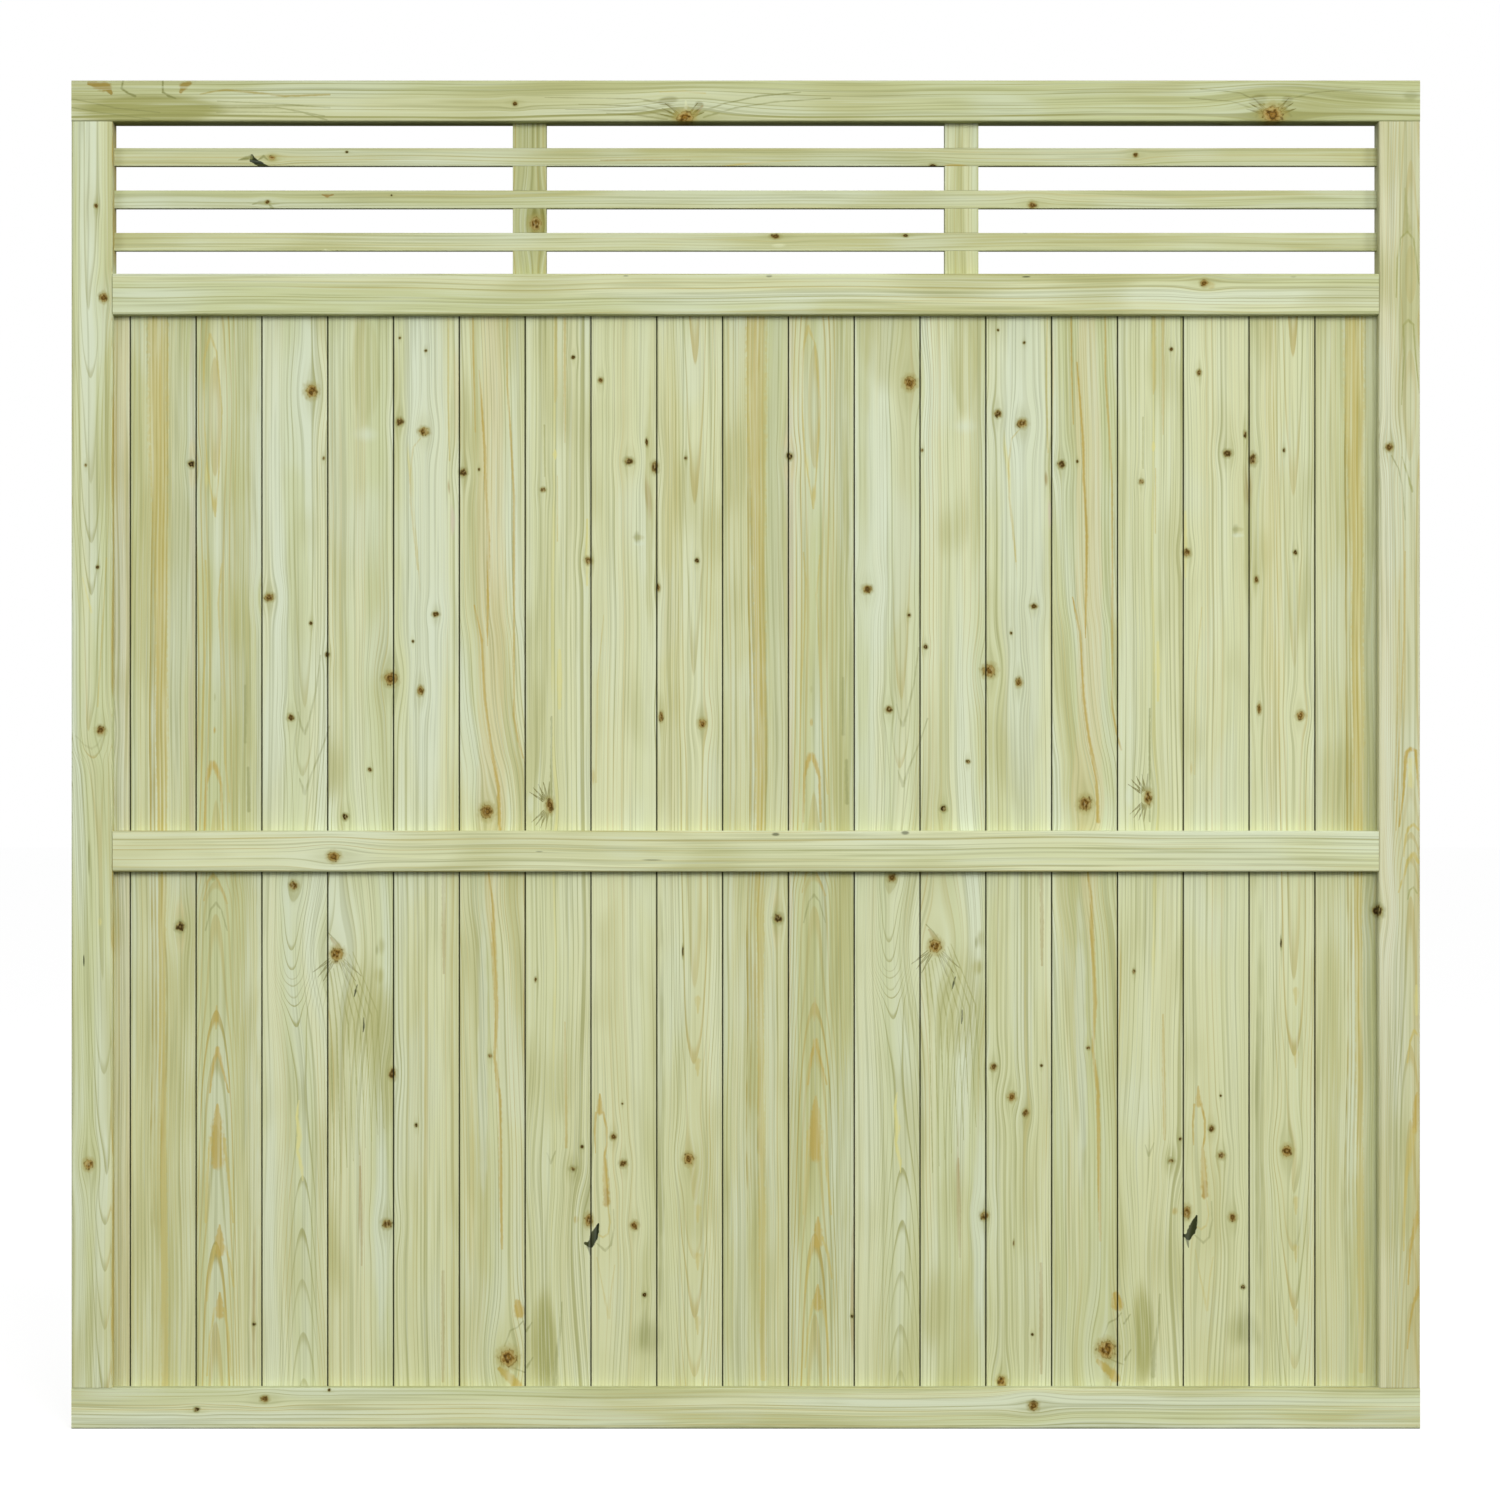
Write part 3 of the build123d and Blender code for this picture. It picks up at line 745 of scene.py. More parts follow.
def fan(x, z, inner, outer, first, last, strokes, strength):
    """Fine strokes that spread from a knot, as a zigzag between its rim and their tips."""
    points = []
    for number in range(2 * strokes + 1):
        angle = math.radians(first + (last - first) * number / (2 * strokes))
        reach, half = (outer, 0.4) if number % 2 else (inner, 1.0)
        points.append((x + reach * math.sin(angle), z + reach * math.cos(angle), half))
    return ("umber", strength, 0.2, points)


def combed(tint, strength, core, first, last, count):
    """Lines side by side, evenly between a first and a last one."""
    shares = [number / (count - 1) for number in range(count)]
    return [
        (tint, strength, core, [
            tuple(a + (b - a) * share for a, b in zip(start, end)) for start, end in zip(first, last)
        ])
        for share in shares
    ]


WALL_PEN_LINES += [fan(*values) for values in WALL_FANS]
WALL_PEN_LINES += combed(
    "khaki",
    0.75,
    0.2,
    [(-560, 606, 0.8), (-555, 530, 1.1), (-550, 330, 0.6)],
    [(-526, 636, 0.8), (-493, 555, 1.1), (-484, 400, 0.6)],
    9,
)

# %% [markdown]
# Each board's material only carries the marks that reach that board. A mark outside it would
# change nothing and still cost time at every point that is shaded.

# %% Pick the marks that lie on one piece
MARK_MARGIN = 8 * MM
PEN_MARGIN = 2 * MM


def in_metres(mark):
    x, z, wide, tall, *rest = mark
    return (x * MM, z * MM, wide * MM, tall * MM, *rest)


def moved_on(mark, run):
    """A mark of the wall, laid again some runs further on."""
    x, z, *rest = mark
    return (x + run * RUN_LENGTH, z + run * RUN_RISE, *rest)


def reaches(mark, piece_box, margin=MARK_MARGIN):
    x, z, wide, tall = mark[:4]
    low, high = piece_box
    across = low.x - wide - margin < x < high.x + wide + margin
    return across and low.z - tall - margin < z < high.z + tall + margin


def marks_on_board(marks, piece_box):
    laid = [moved_on(in_metres(mark), run) for run in RUNS for mark in marks]
    return [mark for mark in laid if reaches(mark, piece_box)]


def pen_in_metres(line):
    *looks, points = line
    return (*looks, [(x * MM, z * MM, half * MM) for x, z, half in points])


def pen_lines_on_board(lines, piece_box):
    found = []
    for *looks, points in map(pen_in_metres, lines):
        for run in RUNS:
            laid = [moved_on(point, run) for point in points]
            if any(reaches((x, z, half, half), piece_box, PEN_MARGIN) for x, z, half in laid):
                found.append((*looks, laid))
    return found


# %% [markdown]
# The pattern is solid, so it is read from the place in the panel: Object coordinates, because
# every piece keeps its place in its mesh. They are turned into grain coordinates, so that one
# recipe serves upright boards and lying rails.

# %% Grain coordinates
UPRIGHT_GRAIN = "upright"
LYING_GRAIN = "lying"


def grain_coordinates(tree, lie):
    """Across the face, into it and along the timber, from the place in the panel."""
    place = add(tree, "ShaderNodeTexCoord").outputs["Object"]
    if lie == UPRIGHT_GRAIN:
        return place
    parts = parts_of(tree, place)
    return joined_vector(tree, parts["Z"], parts["Y"], parts["X"])


def in_grain(lie, x, z):
    return (x, 0.0, z) if lie == UPRIGHT_GRAIN else (z, 0.0, x)


def stretch_of(lie, wide, tall):
    across, along = (wide, tall) if lie == UPRIGHT_GRAIN else (tall, wide)
    return (1 / across, 0.0, 1 / along)


def noise(tree, vector, cells, seed, detail=0.0, roughness=0.5):
    """Noise drawn out along the grain, with so many cells in a metre each way."""
    moved = vectors(tree, "MULTIPLY_ADD", vector, cells, [seed * number for number in cells])
    inputs = {"Vector": moved, "Scale": 1.0, "Detail": detail, "Roughness": roughness}
    return add(tree, "ShaderNodeTexNoise", inputs, noise_dimensions="3D").outputs["Fac"]


def centred(tree, value, amount):
    """Noise from -amount / 2 to amount / 2."""
    return maths(tree, "MULTIPLY_ADD", value, amount, -amount / 2)


ACROSS = (1.0, 0.0, 0.0)


def shifted_across(tree, grain, amount):
    return vectors(tree, "ADD", grain, scaled(tree, ACROSS, amount))


# %% [markdown]
# Where a board was cut near the middle of the tree, the rings reach its face as nested flames.
# Each flame's tip is a height at which one more ring reaches the face, so a curve through the
# tips' heights draws the whole figure. Beside the pith line the rings follow by area: a tree
# adds about the same area of wood each year, so its rings get thinner outward.

# %% Number of the ring at the face
CURVE_RINGS = 24.0
DRIFT_REACH = 0.045
CROSS_SECTION = (1.0, 1.0, 0.0)
FINE_RINGS = (20 * MM, 45 * MM, 1.0, 0.4)


def along_curve(tree, grain, points, span, least, most):
    """A value that changes along the timber, through given points."""
    low, high = span
    inputs = {"Value": parts_of(tree, grain)["Z"], "From Min": low, "From Max": high}
    share = add(tree, "ShaderNodeMapRange", inputs).outputs["Result"]
    node = add(tree, "ShaderNodeFloatCurve", {"Value": share})
    curve = node.mapping.curves[0]
    ordered = sorted(
        (max(0.0, min(1.0, (z - low) / (high - low))), (value - least) / (most - least))
        for z, value in points
    )
    curve.points[0].location = ordered[0]
    curve.points[1].location = ordered[-1]
    for place, height in ordered[1:-1]:
        curve.points.new(place, height)
    node.mapping.update()
    return maths(tree, "MULTIPLY_ADD", node.outputs["Value"], most - least, least)


def drifted(tree, grain, figure, span):
    """The grain moved aside, by as much as the figure drifts at each height."""
    if not figure["drift"]:
        return grain
    amount = along_curve(tree, grain, figure["drift"], span, -DRIFT_REACH, DRIFT_REACH)
    return shifted_across(tree, grain, amount)


def ring_number(tree, grain, figure, span):
    """Which ring a point lies in, and how strongly rings this thin can still be told apart."""
    shift = (-figure["pith"], -figure["face"] - figure["depth"], 0.0)
    from_pith = vectors(tree, "MULTIPLY_ADD", grain, CROSS_SECTION, shift)
    away = vectors(tree, "LENGTH", from_pith)
    if not figure["levels"]:
        return maths(tree, "DIVIDE", away, figure["ring"]), 1.0
    square = maths(tree, "MULTIPLY_ADD", away, away, -figure["depth"] ** 2)
    level = along_curve(tree, grain, figure["levels"], span, 0.0, CURVE_RINGS)
    side = maths(tree, "ABSOLUTE", parts_of(tree, from_pith)["X"])
    clear = ramp_between(tree, side, *FINE_RINGS)
    return maths(tree, "MULTIPLY_ADD", square, 1 / figure["area"], level), clear


# %% [markdown]
# Now the recipe itself, in the order in which a tree and a sawmill do it: the grain, bent by its
# knots; the rings in it; the body colour in broad bands; the streaks; the fibres; the knots'
# own discs; the sawn ends; and last the painted shade in a joint between two boards.


# %% Grain bent by its knots
USUAL_STAIN = 0.3
SHARP = 0.0
RAGGED_DISC = 0.9


def bent_by_knots(tree, lie, grain, knots, flecks):
    """The grain after all the knots, the nearest knot's distances, and how dead it is."""
    near = {"Grain": grain, "Nearness": FAR_FROM_KNOTS, "Smudge": 0.0, "Deadness": 0.0}
    if not knots:
        return near
    uneven = centred(tree, flecks, RAGGED_DISC)
    for x, z, wide, tall, dead, pull, *rest in knots:
        stain, faint = rest if rest else (USUAL_STAIN, SHARP)
        given = {
            **near,
            "Place": in_grain(lie, x, z),
            "Stretch": stretch_of(lie, wide, tall),
            "Dead": dead,
            "Pull": pull,
            "Stain": stain,
            "Faint": faint,
            "Unevenness": uneven,
        }
        near = dict(grouped(tree, KNOT_GROUP, given).items())
    return near


# %% [markdown]
# The body of the wood drifts between cream, green and sage in broad bands along the grain, and
# the late wood of each year lies in it as a thin darker line, honey in some bands and olive in
# others.


# %% Body colour and ring lines
# Cells in a metre across the face, into it and along the grain
CLOUD_CELLS = (13, 13, 4.5)
# Where a soft step starts and ends, and what it goes from and to
GREEN_BANDS = (0.38, 0.62)
WHITE_PATCHES = (0.53, 0.72, 0.0, 0.6)
OLIVE_PATCHES = (0.47, 0.28, 0.0, 0.55)
OLIVE_CLOUDS = (0.53, 0.72, 0.0)
WHITE_CLOUDS = (0.46, 0.30, 0.0, 0.35)
STRAW_TOWARDS_FOOT = (0.9, 0.0, 0.0, 0.3)
WARM_BANDS = (1.08, 0.88)
LINES_FADE = (0.2, 0.7, 0.55, 1.0)


def tinted(tree, wood, value, step, tint):
    """The wood, tinted by as much as a soft step of the value says."""
    return blended(tree, ramp_between(tree, value, *step), wood, TINTS[tint])


def body_colour(tree, lie, grain, flowing, broad, patchy, late, figure, seed):
    body = tinted(tree, TINTS["cream"], broad, GREEN_BANDS, "green")
    body = tinted(tree, body, patchy, WHITE_PATCHES, "white")
    body = tinted(tree, body, patchy, OLIVE_PATCHES, "olive")
    tint, amount = figure["tone"]
    body = blended(tree, amount, body, TINTS[tint])
    cloud = noise(tree, flowing, CLOUD_CELLS, seed + 23, 1.0, 0.65)
    body = tinted(tree, body, cloud, (*OLIVE_CLOUDS, figure["clouds"]), "olive")
    body = tinted(tree, body, cloud, WHITE_CLOUDS, "white")
    # Upright timbers go darker and more straw-coloured towards the foot
    if lie == UPRIGHT_GRAIN:
        body = tinted(tree, body, parts_of(tree, grain)["Z"], STRAW_TOWARDS_FOOT, "straw")
    warm = maths(tree, "SUBTRACT", maths(tree, "ADD", broad, patchy), figure["warmth"])
    line_colour = blended(tree, ramp_between(tree, warm, *WARM_BANDS), LATE_OLIVE, LATE_HONEY)
    fading = ramp_between(tree, patchy, *LINES_FADE)
    amount = maths(tree, "MULTIPLY", late, maths(tree, "MULTIPLY", fading, figure["contrast"]))
    return blended(tree, amount, body, line_colour)


RAGGED_EDGE = 5 * MM
ACROSS_AND_ALONG = (1.0, 0.0, 1.0)
PEN_FADE = 1.4


def leaning(tree, grain, lean, place):
    """The grain turned a little to one side round a place."""
    along = maths(tree, "SUBTRACT", parts_of(tree, grain)["Z"], place[2])
    return shifted_across(tree, grain, maths(tree, "MULTIPLY", along, -lean))


def streaked_colour(tree, lie, wood, grain, streaks, soaked, uneven):
    for x, z, wide, tall, core, tint, amount, *lean in streaks:
        place = in_grain(lie, x, z)
        stretch = stretch_of(lie, wide, tall)
        given = {
            "Colour": wood,
            "Grain": leaning(tree, grain, *lean, place) if lean else grain,
            "Stretch": stretch,
            "Shift": [-middle * share for middle, share in zip(place, stretch)],
            "Core": core,
            "Unevenness": maths(tree, "MULTIPLY", uneven, min(1.0, RAGGED_EDGE / min(wide, tall))),
            "Tint": TINTS[tint],
            "Strength": amount,
            "Soaked": soaked,
        }
        wood = grouped(tree, STREAK_GROUP, given)["Colour"]
    return wood


def penned_colour(tree, lie, wood, grain, lines, soaked, uneven):
    flat = vectors(tree, "MULTIPLY", grain, ACROSS_AND_ALONG)
    for tint, amount, core, points in lines:
        nearness = FAR_FROM_KNOTS
        for (x, z, half), (next_x, next_z, next_half) in zip(points, points[1:]):
            start = Vector(in_grain(lie, x, z))
            reach = Vector(in_grain(lie, next_x, next_z)) - start
            given = {
                "Grain": flat,
                "Nearness": nearness,
                "Start": start,
                "Reach": reach,
                "Per length": reach / reach.length_squared,
                "Half width": half,
                "Widening": next_half - half,
            }
            nearness = grouped(tree, PEN_GROUP, given)["Nearness"]
        nearness = maths(tree, "ADD", uneven, nearness)
        cover = ramp_between(tree, nearness, core, PEN_FADE, amount, 0.0)
        wood = blended(tree, maths(tree, "MULTIPLY", cover, soaked), wood, TINTS[tint])
    return wood


# %% [markdown]
# A knot's colour is read from its distance: an olive or honey stain drawn out along the grain,
# and then the disc, brown with a dark ring in it when the branch was alive, and black-ringed when
# it had died before the trunk closed over it. Pale and dark flecks make each one different.


# %% Colour of the knots
FEATHER = colour("#77742f")
# Where a soft step starts and ends, and what it goes from and to
STAINED_FIBRES = (0.3, 0.65, 0.3, 1.0)
FEATHERED = (0.28, 0.5, 0.0, 0.9)
HALO = (2.0, 1.0, 0.0, 0.6)
PALE_FLECKS = (0.52, 0.72, 0.0, 0.45)
DARK_FLECKS = (0.46, 0.28, 0.0, 0.6)
DISC_EDGE = (1.25, 0.9)


def knotted_colour(tree, wood, near, fibre, flecks):
    nearness, deadness = near["Nearness"], near["Deadness"]
    smudge = near["Smudge"]
    drawn = maths(tree, "MULTIPLY", smudge, ramp_between(tree, fibre, *STAINED_FIBRES))
    wood = blended(tree, drawn, wood, TINTS["khaki"])
    feathers = ramp_between(tree, maths(tree, "MULTIPLY", smudge, fibre), *FEATHERED)
    wood = blended(tree, feathers, wood, FEATHER)
    halo = ramp_between(tree, nearness, *HALO)
    wood = blended(tree, halo, wood, blended(tree, deadness, TINTS["resin"], TINTS["moss"]))
    live = colour_ramp(tree, nearness, LIVE_KNOT)
    dead = colour_ramp(tree, nearness, DEAD_KNOT)
    heart = blended(tree, deadness, live, dead)
    heart = blended(tree, ramp_between(tree, flecks, *PALE_FLECKS), heart, KNOT_PALE)
    heart = blended(tree, ramp_between(tree, flecks, *DARK_FLECKS), heart, KNOT_DARK)
    return blended(tree, ramp_between(tree, nearness, *DISC_EDGE), wood, heart)


# %% [markdown]
# Sawn ends are open pores, darker and rough. The underside of a lying timber is given painted shade,
# a dark olive in its colour. The edges of a board, where they lie in a joint, are given painted
# shade just below the faces.

# %% Sawn ends, and painted shade under lying timbers and in joints
PAINTED_JOINT_SHADE = colour("#3d3d26")
PAINTED_JOINT_SHADE_STEP = (0.05 * MM, 0.6 * MM, 0.0, 0.9)
PAINTED_UNDERSIDE_STEP = (-0.4, -0.9, 0.0, 0.4)
END_STEP = (0.7, 0.9, 0.0, 1.0)
END_COVER = 0.75
END_LINES = 0.6
PAINTED_UNDERSIDE_SHADE = colour("#6c6d22")


def ended_colour(tree, lie, wood, late):
    normal = parts_of(tree, add(tree, "ShaderNodeTexCoord").outputs["Normal"])
    # Painted shade: the undersides of lying timbers are darkened in their colour
    if lie == LYING_GRAIN:
        under = ramp_between(tree, normal["Z"], *PAINTED_UNDERSIDE_STEP)
        wood = blended(tree, under, wood, PAINTED_UNDERSIDE_SHADE)
    facing = maths(tree, "ABSOLUTE", normal["Z" if lie == UPRIGHT_GRAIN else "X"])
    end = ramp_between(tree, facing, *END_STEP)
    end_colour = blended(tree, maths(tree, "MULTIPLY", late, END_LINES), END_GRAIN, TINTS["tan"])
    return blended(tree, maths(tree, "MULTIPLY", end, END_COVER), wood, end_colour), end


def painted_shade_in_joints(tree, wood, grain, faces):
    """Painted shade: darker between the two faces of a board, which are given as their depths."""
    depth = parts_of(tree, grain)["Y"]
    under_front = maths(tree, "SUBTRACT", depth, faces[0])
    under_back = maths(tree, "SUBTRACT", faces[1], depth)
    under = maths(tree, "MINIMUM", under_front, under_back)
    return blended(tree, ramp_between(tree, under, *PAINTED_JOINT_SHADE_STEP), wood, PAINTED_JOINT_SHADE)


# %% [markdown]
# The whole recipe in one place. The fine fibres give the relief too, taken before the knots bend
# the grain, because a bump reads its height three times and should stay cheap.


# %% Softwood
# Cells in a metre across the face, into it and along the grain
FLECK_CELLS = (260, 260, 160)
SWAY_CELLS = (6, 6, 2.6)
BROAD_CELLS = (26, 26, 0.6)
PATCH_CELLS = (40, 40, 2.0)
FIBRE_CELLS = (300, 300, 5)
EDGE_CELLS = (90, 90, 22)
HAIR_CELLS = (430, 430, 1.6)
RELIEF_CELLS = (420, 420, 9)
# Where a soft step starts and ends, and what it goes from and to
SOAKED_FIBRES = (0.3, 0.65, 0.6, 1.0)
HAIR_LINES = (0.58, 0.70, 0.0, 0.28)
DARK_FIBRES = (0.51, 0.74, 0.0)
PALE_FIBRES = (0.49, 0.26, 0.0)
# How far the fibres carry the edge of a streak and of a pen line aside
STREAK_WANDER = 4 * MM
PEN_WANDER = 1.5 * MM
PLANED_ROUGHNESS = 0.68
FIBRE_ROUGHNESS = 0.2
LATE_ROUGHNESS = -0.1
END_ROUGHNESS = 0.2
WOOD_RELIEF = {"Strength": 0.4, "Distance": 0.25 * MM}
WOOD_LOOKS = {"Specular IOR Level": 0.1}


def softwood(name, lie, span, figure, marks, seed, joint_faces=None):
    """A timber's own material: its rings, knots, streaks, pen lines, fibres and relief."""
    knots, streaks, lines = marks
    material, tree = new_material(name)
    grain = grain_coordinates(tree, lie)
    flecks = noise(tree, grain, FLECK_CELLS, seed, 1.0, 0.6)
    near = bent_by_knots(tree, lie, grain, knots, flecks)
    sway = noise(tree, grain, SWAY_CELLS, seed + 3, 1.0, 0.6)
    swayed = shifted_across(tree, near["Grain"], centred(tree, sway, figure["sway"]))
    flowing = drifted(tree, swayed, figure, span)
    number, clear = ring_number(tree, flowing, figure, span)
    start, full = figure["late"]
    years = {"Year drift": figure["years"], "Late start": start, "Late full": full}
    rings = grouped(tree, RING_GROUP, {"Ring": number, "Seed": seed, **years})
    late = maths(tree, "MINIMUM", maths(tree, "MULTIPLY", rings["Late"], rings["Strength"]), 1.0)
    late = maths(tree, "MULTIPLY", late, clear)
    broad = noise(tree, flowing, BROAD_CELLS, seed + 11, 1.0, 0.6)
    patchy = noise(tree, flowing, PATCH_CELLS, seed + 17)
    fibre = noise(tree, flowing, FIBRE_CELLS, seed + 31, 1.0, 0.65)

    wood = body_colour(tree, lie, grain, flowing, broad, patchy, late, figure, seed)
    soaked = ramp_between(tree, fibre, *SOAKED_FIBRES)
    edge = centred(tree, noise(tree, flowing, EDGE_CELLS, seed + 29, 1.0, 0.6), 1.0)
    if streaks:
        ragged = shifted_across(tree, swayed, centred(tree, fibre, STREAK_WANDER))
        wood = streaked_colour(tree, lie, wood, ragged, streaks, soaked, edge)
    hair = noise(tree, flowing, HAIR_CELLS, seed + 37)
    wood = tinted(tree, wood, hair, HAIR_LINES, "moss")
    if lines:
        ragged = shifted_across(tree, grain, centred(tree, fibre, PEN_WANDER))
        wood = penned_colour(tree, lie, wood, ragged, lines, soaked, centred(tree, flecks, 1.0))
    wood = tinted(tree, wood, fibre, (*DARK_FIBRES, figure["fibres"]), "moss")
    wood = tinted(tree, wood, fibre, (*PALE_FIBRES, figure["fibres"]), "white")
    if knots:
        wood = knotted_colour(tree, wood, near, fibre, flecks)
    # Painted shade in the joints between the boards
    if joint_faces:
        wood = painted_shade_in_joints(tree, wood, grain, joint_faces)
    wood, end = ended_colour(tree, lie, wood, late)

    roughness = maths(tree, "MULTIPLY_ADD", fibre, FIBRE_ROUGHNESS, PLANED_ROUGHNESS)
    roughness = maths(tree, "MULTIPLY_ADD", late, LATE_ROUGHNESS, roughness)
    roughness = maths(tree, "MULTIPLY_ADD", end, END_ROUGHNESS, roughness)
    roughness = maths(tree, "MINIMUM", roughness, 1.0)
    height = noise(tree, grain, RELIEF_CELLS, seed + 43)
    surfaced(tree, wood, roughness, height, WOOD_RELIEF, WOOD_LOOKS)
    return material


# %% [markdown]
# Each board of a run has a figure of its own: where its pith lay, how wide its rings are, how
# far they sway and how strongly they show. Three of them were cut close to the pith and show
# flames, so they have levels: the height of each tip and the number of the ring that shows there.
# One has a drift: how far its rings lie aside at each height.

# %% Figures of the boards
PLAIN = dict(
    pith=0.0, depth=0.03, face=0.0, ring=0.0045, area=0.0002, sway=0.014, contrast=0.6, years=2.0,
    late=(0.6, 0.95), warmth=0.0, tone=("cream", 0.0), clouds=0.5, fibres=0.28, levels=None,
    drift=None,
)
LOOP_LEVELS = [
    (0.054, 5.3), (0.177, 6), (0.270, 7), (0.434, 8), (0.512, 9), (0.562, 9.8), (0.703, 11),
    (0.738, 12), (0.892, 13), (0.935, 13.1), (1.080, 13.3), (1.229, 13), (1.348, 12.5),
    (1.464, 13), (1.508, 13.3),
]
CUP_LEVELS = [
    (0.054, 8.5), (0.085, 9), (0.142, 10), (0.205, 11), (0.284, 12), (0.437, 13.5), (0.516, 13),
    (0.559, 12), (0.572, 11), (0.587, 10), (0.596, 9), (0.607, 8), (0.634, 7), (0.681, 6),
    (0.848, 5), (0.934, 4), (1.487, 3.2),
]
WEDGE_LEVELS = [
    (0.054, 14), (0.124, 13), (0.210, 12), (0.274, 11), (0.470, 10), (0.554, 9), (0.912, 8),
    (1.187, 7), (1.399, 6), (1.487, 5.6),
]
WAVE_DRIFT = [
    (1.480, 0), (1.334, -0.003), (1.107, -0.005), (1.053, -0.011), (0.973, -0.016), (0.911, -0.024),
    (0.858, -0.032), (0.800, -0.034), (0.741, -0.020), (0.634, -0.027), (0.523, -0.031),
    (0.239, -0.038), (0.057, -0.040),
]
BOARD_FIGURES = {
    1: dict(pith=-0.90, ring=0.0030, tone=("rose", 0.3)),
    2: dict(pith=-0.93, ring=0.0045, tone=("khaki", 0.2), warmth=0.15, late=(0.7, 0.95)),
    3: dict(
        pith=-0.709, levels=LOOP_LEVELS, area=0.00024, contrast=0.95, years=0.4, late=(0.6, 0.8),
        warmth=0.3, sway=0.008, tone=("khaki", 0.15),
    ),
    4: dict(
        pith=-0.592, levels=CUP_LEVELS, area=0.00022, contrast=0.85, years=0.4, late=(0.72, 0.93),
        warmth=-0.1, sway=0.010, tone=("white", 0.2), fibres=0.2,
    ),
    5: dict(
        pith=-0.70, ring=0.0056, late=(0.7, 0.95), contrast=0.8, clouds=0.75, tone=("white", 0.1),
        fibres=0.2,
    ),
    6: dict(
        pith=-0.62, ring=0.0066, late=(0.72, 0.95), contrast=0.7, tone=("cream", 0.45), warmth=-0.1,
    ),
    7: dict(
        pith=-0.25, ring=0.0062, late=(0.72, 0.95), contrast=0.9, tone=("khaki", 0.06),
        drift=WAVE_DRIFT,
    ),
    8: dict(
        pith=-0.42, ring=0.0066, contrast=0.85, late=(0.74, 0.95), warmth=-0.3, tone=("cream", 0.6),
    ),
    9: dict(
        pith=0.06, ring=0.0058, late=(0.74, 0.95), contrast=0.65, tone=("cream", 0.65), fibres=0.15,
    ),
    10: dict(
        pith=-0.068, levels=WEDGE_LEVELS, tone=("cream", 0.6), contrast=0.9, years=0.4,
        late=(0.66, 0.9), warmth=0.1, sway=0.010,
    ),
}

# %% [markdown]
# One material a board, from the recipe, its figure and its marks. The boards come round again
# every nine, so a board's figure is that of its place in the run.

# %% Materials of the boards
BOARDS = sorted(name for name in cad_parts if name.startswith("board_") and name[-2:].isdigit())
BOARDS_IN_RUN = 9


def board_material(name):
    number = int(name[-2:])
    run = max(0, (number - 2) // BOARDS_IN_RUN)
    low, high = piece_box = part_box(name)
    figure = {**PLAIN, **BOARD_FIGURES[number - run * BOARDS_IN_RUN]}
    figure["pith"] += run * RUN_LENGTH
    figure["face"] = low.y
    if figure["levels"]:
        figure["levels"] = [(z + run * RUN_RISE, rings) for z, rings in figure["levels"]]
    if figure["drift"]:
        figure["drift"] = [(z + run * RUN_RISE, shift) for z, shift in figure["drift"]]
    knots = marks_on_board(WALL_KNOTS, piece_box)
    if number == OWN_BOARD:
        knots = [mark for mark in knots if mark[1] > OWN_KNOTS_TOP]
        knots += [in_metres(mark) for mark in OWN_KNOTS]
    return softwood(
        f"timber {name}",
        UPRIGHT_GRAIN,
        (low.z, high.z),
        figure,
        (
            knots,
            marks_on_board(WALL_STREAKS, piece_box),
            pen_lines_on_board(WALL_PEN_LINES, piece_box),
        ),
        seed=5.3 * (number - run * BOARDS_IN_RUN),
        joint_faces=(low.y, high.y),
    )


BOARD_MATERIALS = {name: board_material(name) for name in BOARDS}
print(len(BOARD_MATERIALS), "board materials")

# %% [markdown]
# The frame's timbers and the slats have figures and marks of their own. The rails lie, so their
# grain runs along X, and the stiles and uprights stand.

# %% Figures and marks of the frame
LEFT_STILE_LEVELS = [
    (0.054, 15.6), (0.110, 15), (0.193, 14), (0.263, 13), (0.323, 12), (0.450, 11), (0.532, 10),
    (0.889, 9), (0.912, 8), (1.092, 7), (1.1725, 6), (1.238, 5), (1.383, 4), (1.4635, 3), (1.745, 2.2),
]
LEFT_STILE_DRIFT = [
    (0.054, -0.004), (0.5, -0.002), (0.869, 0.007), (0.92, 0.013), (1.1, 0.014), (1.745, 0.016),
]
RIGHT_STILE_LEVELS = [
    (0.054, 5), (0.190, 6), (0.290, 7), (0.449, 8), (0.529, 9), (0.727, 10), (0.773, 11),
    (0.809, 12), (0.912, 13), (1.080, 13.3), (1.259, 13), (1.370, 12.25), (1.473, 13),
    (1.480, 13), (1.540, 12.4), (1.597, 13), (1.745, 14.2),
]
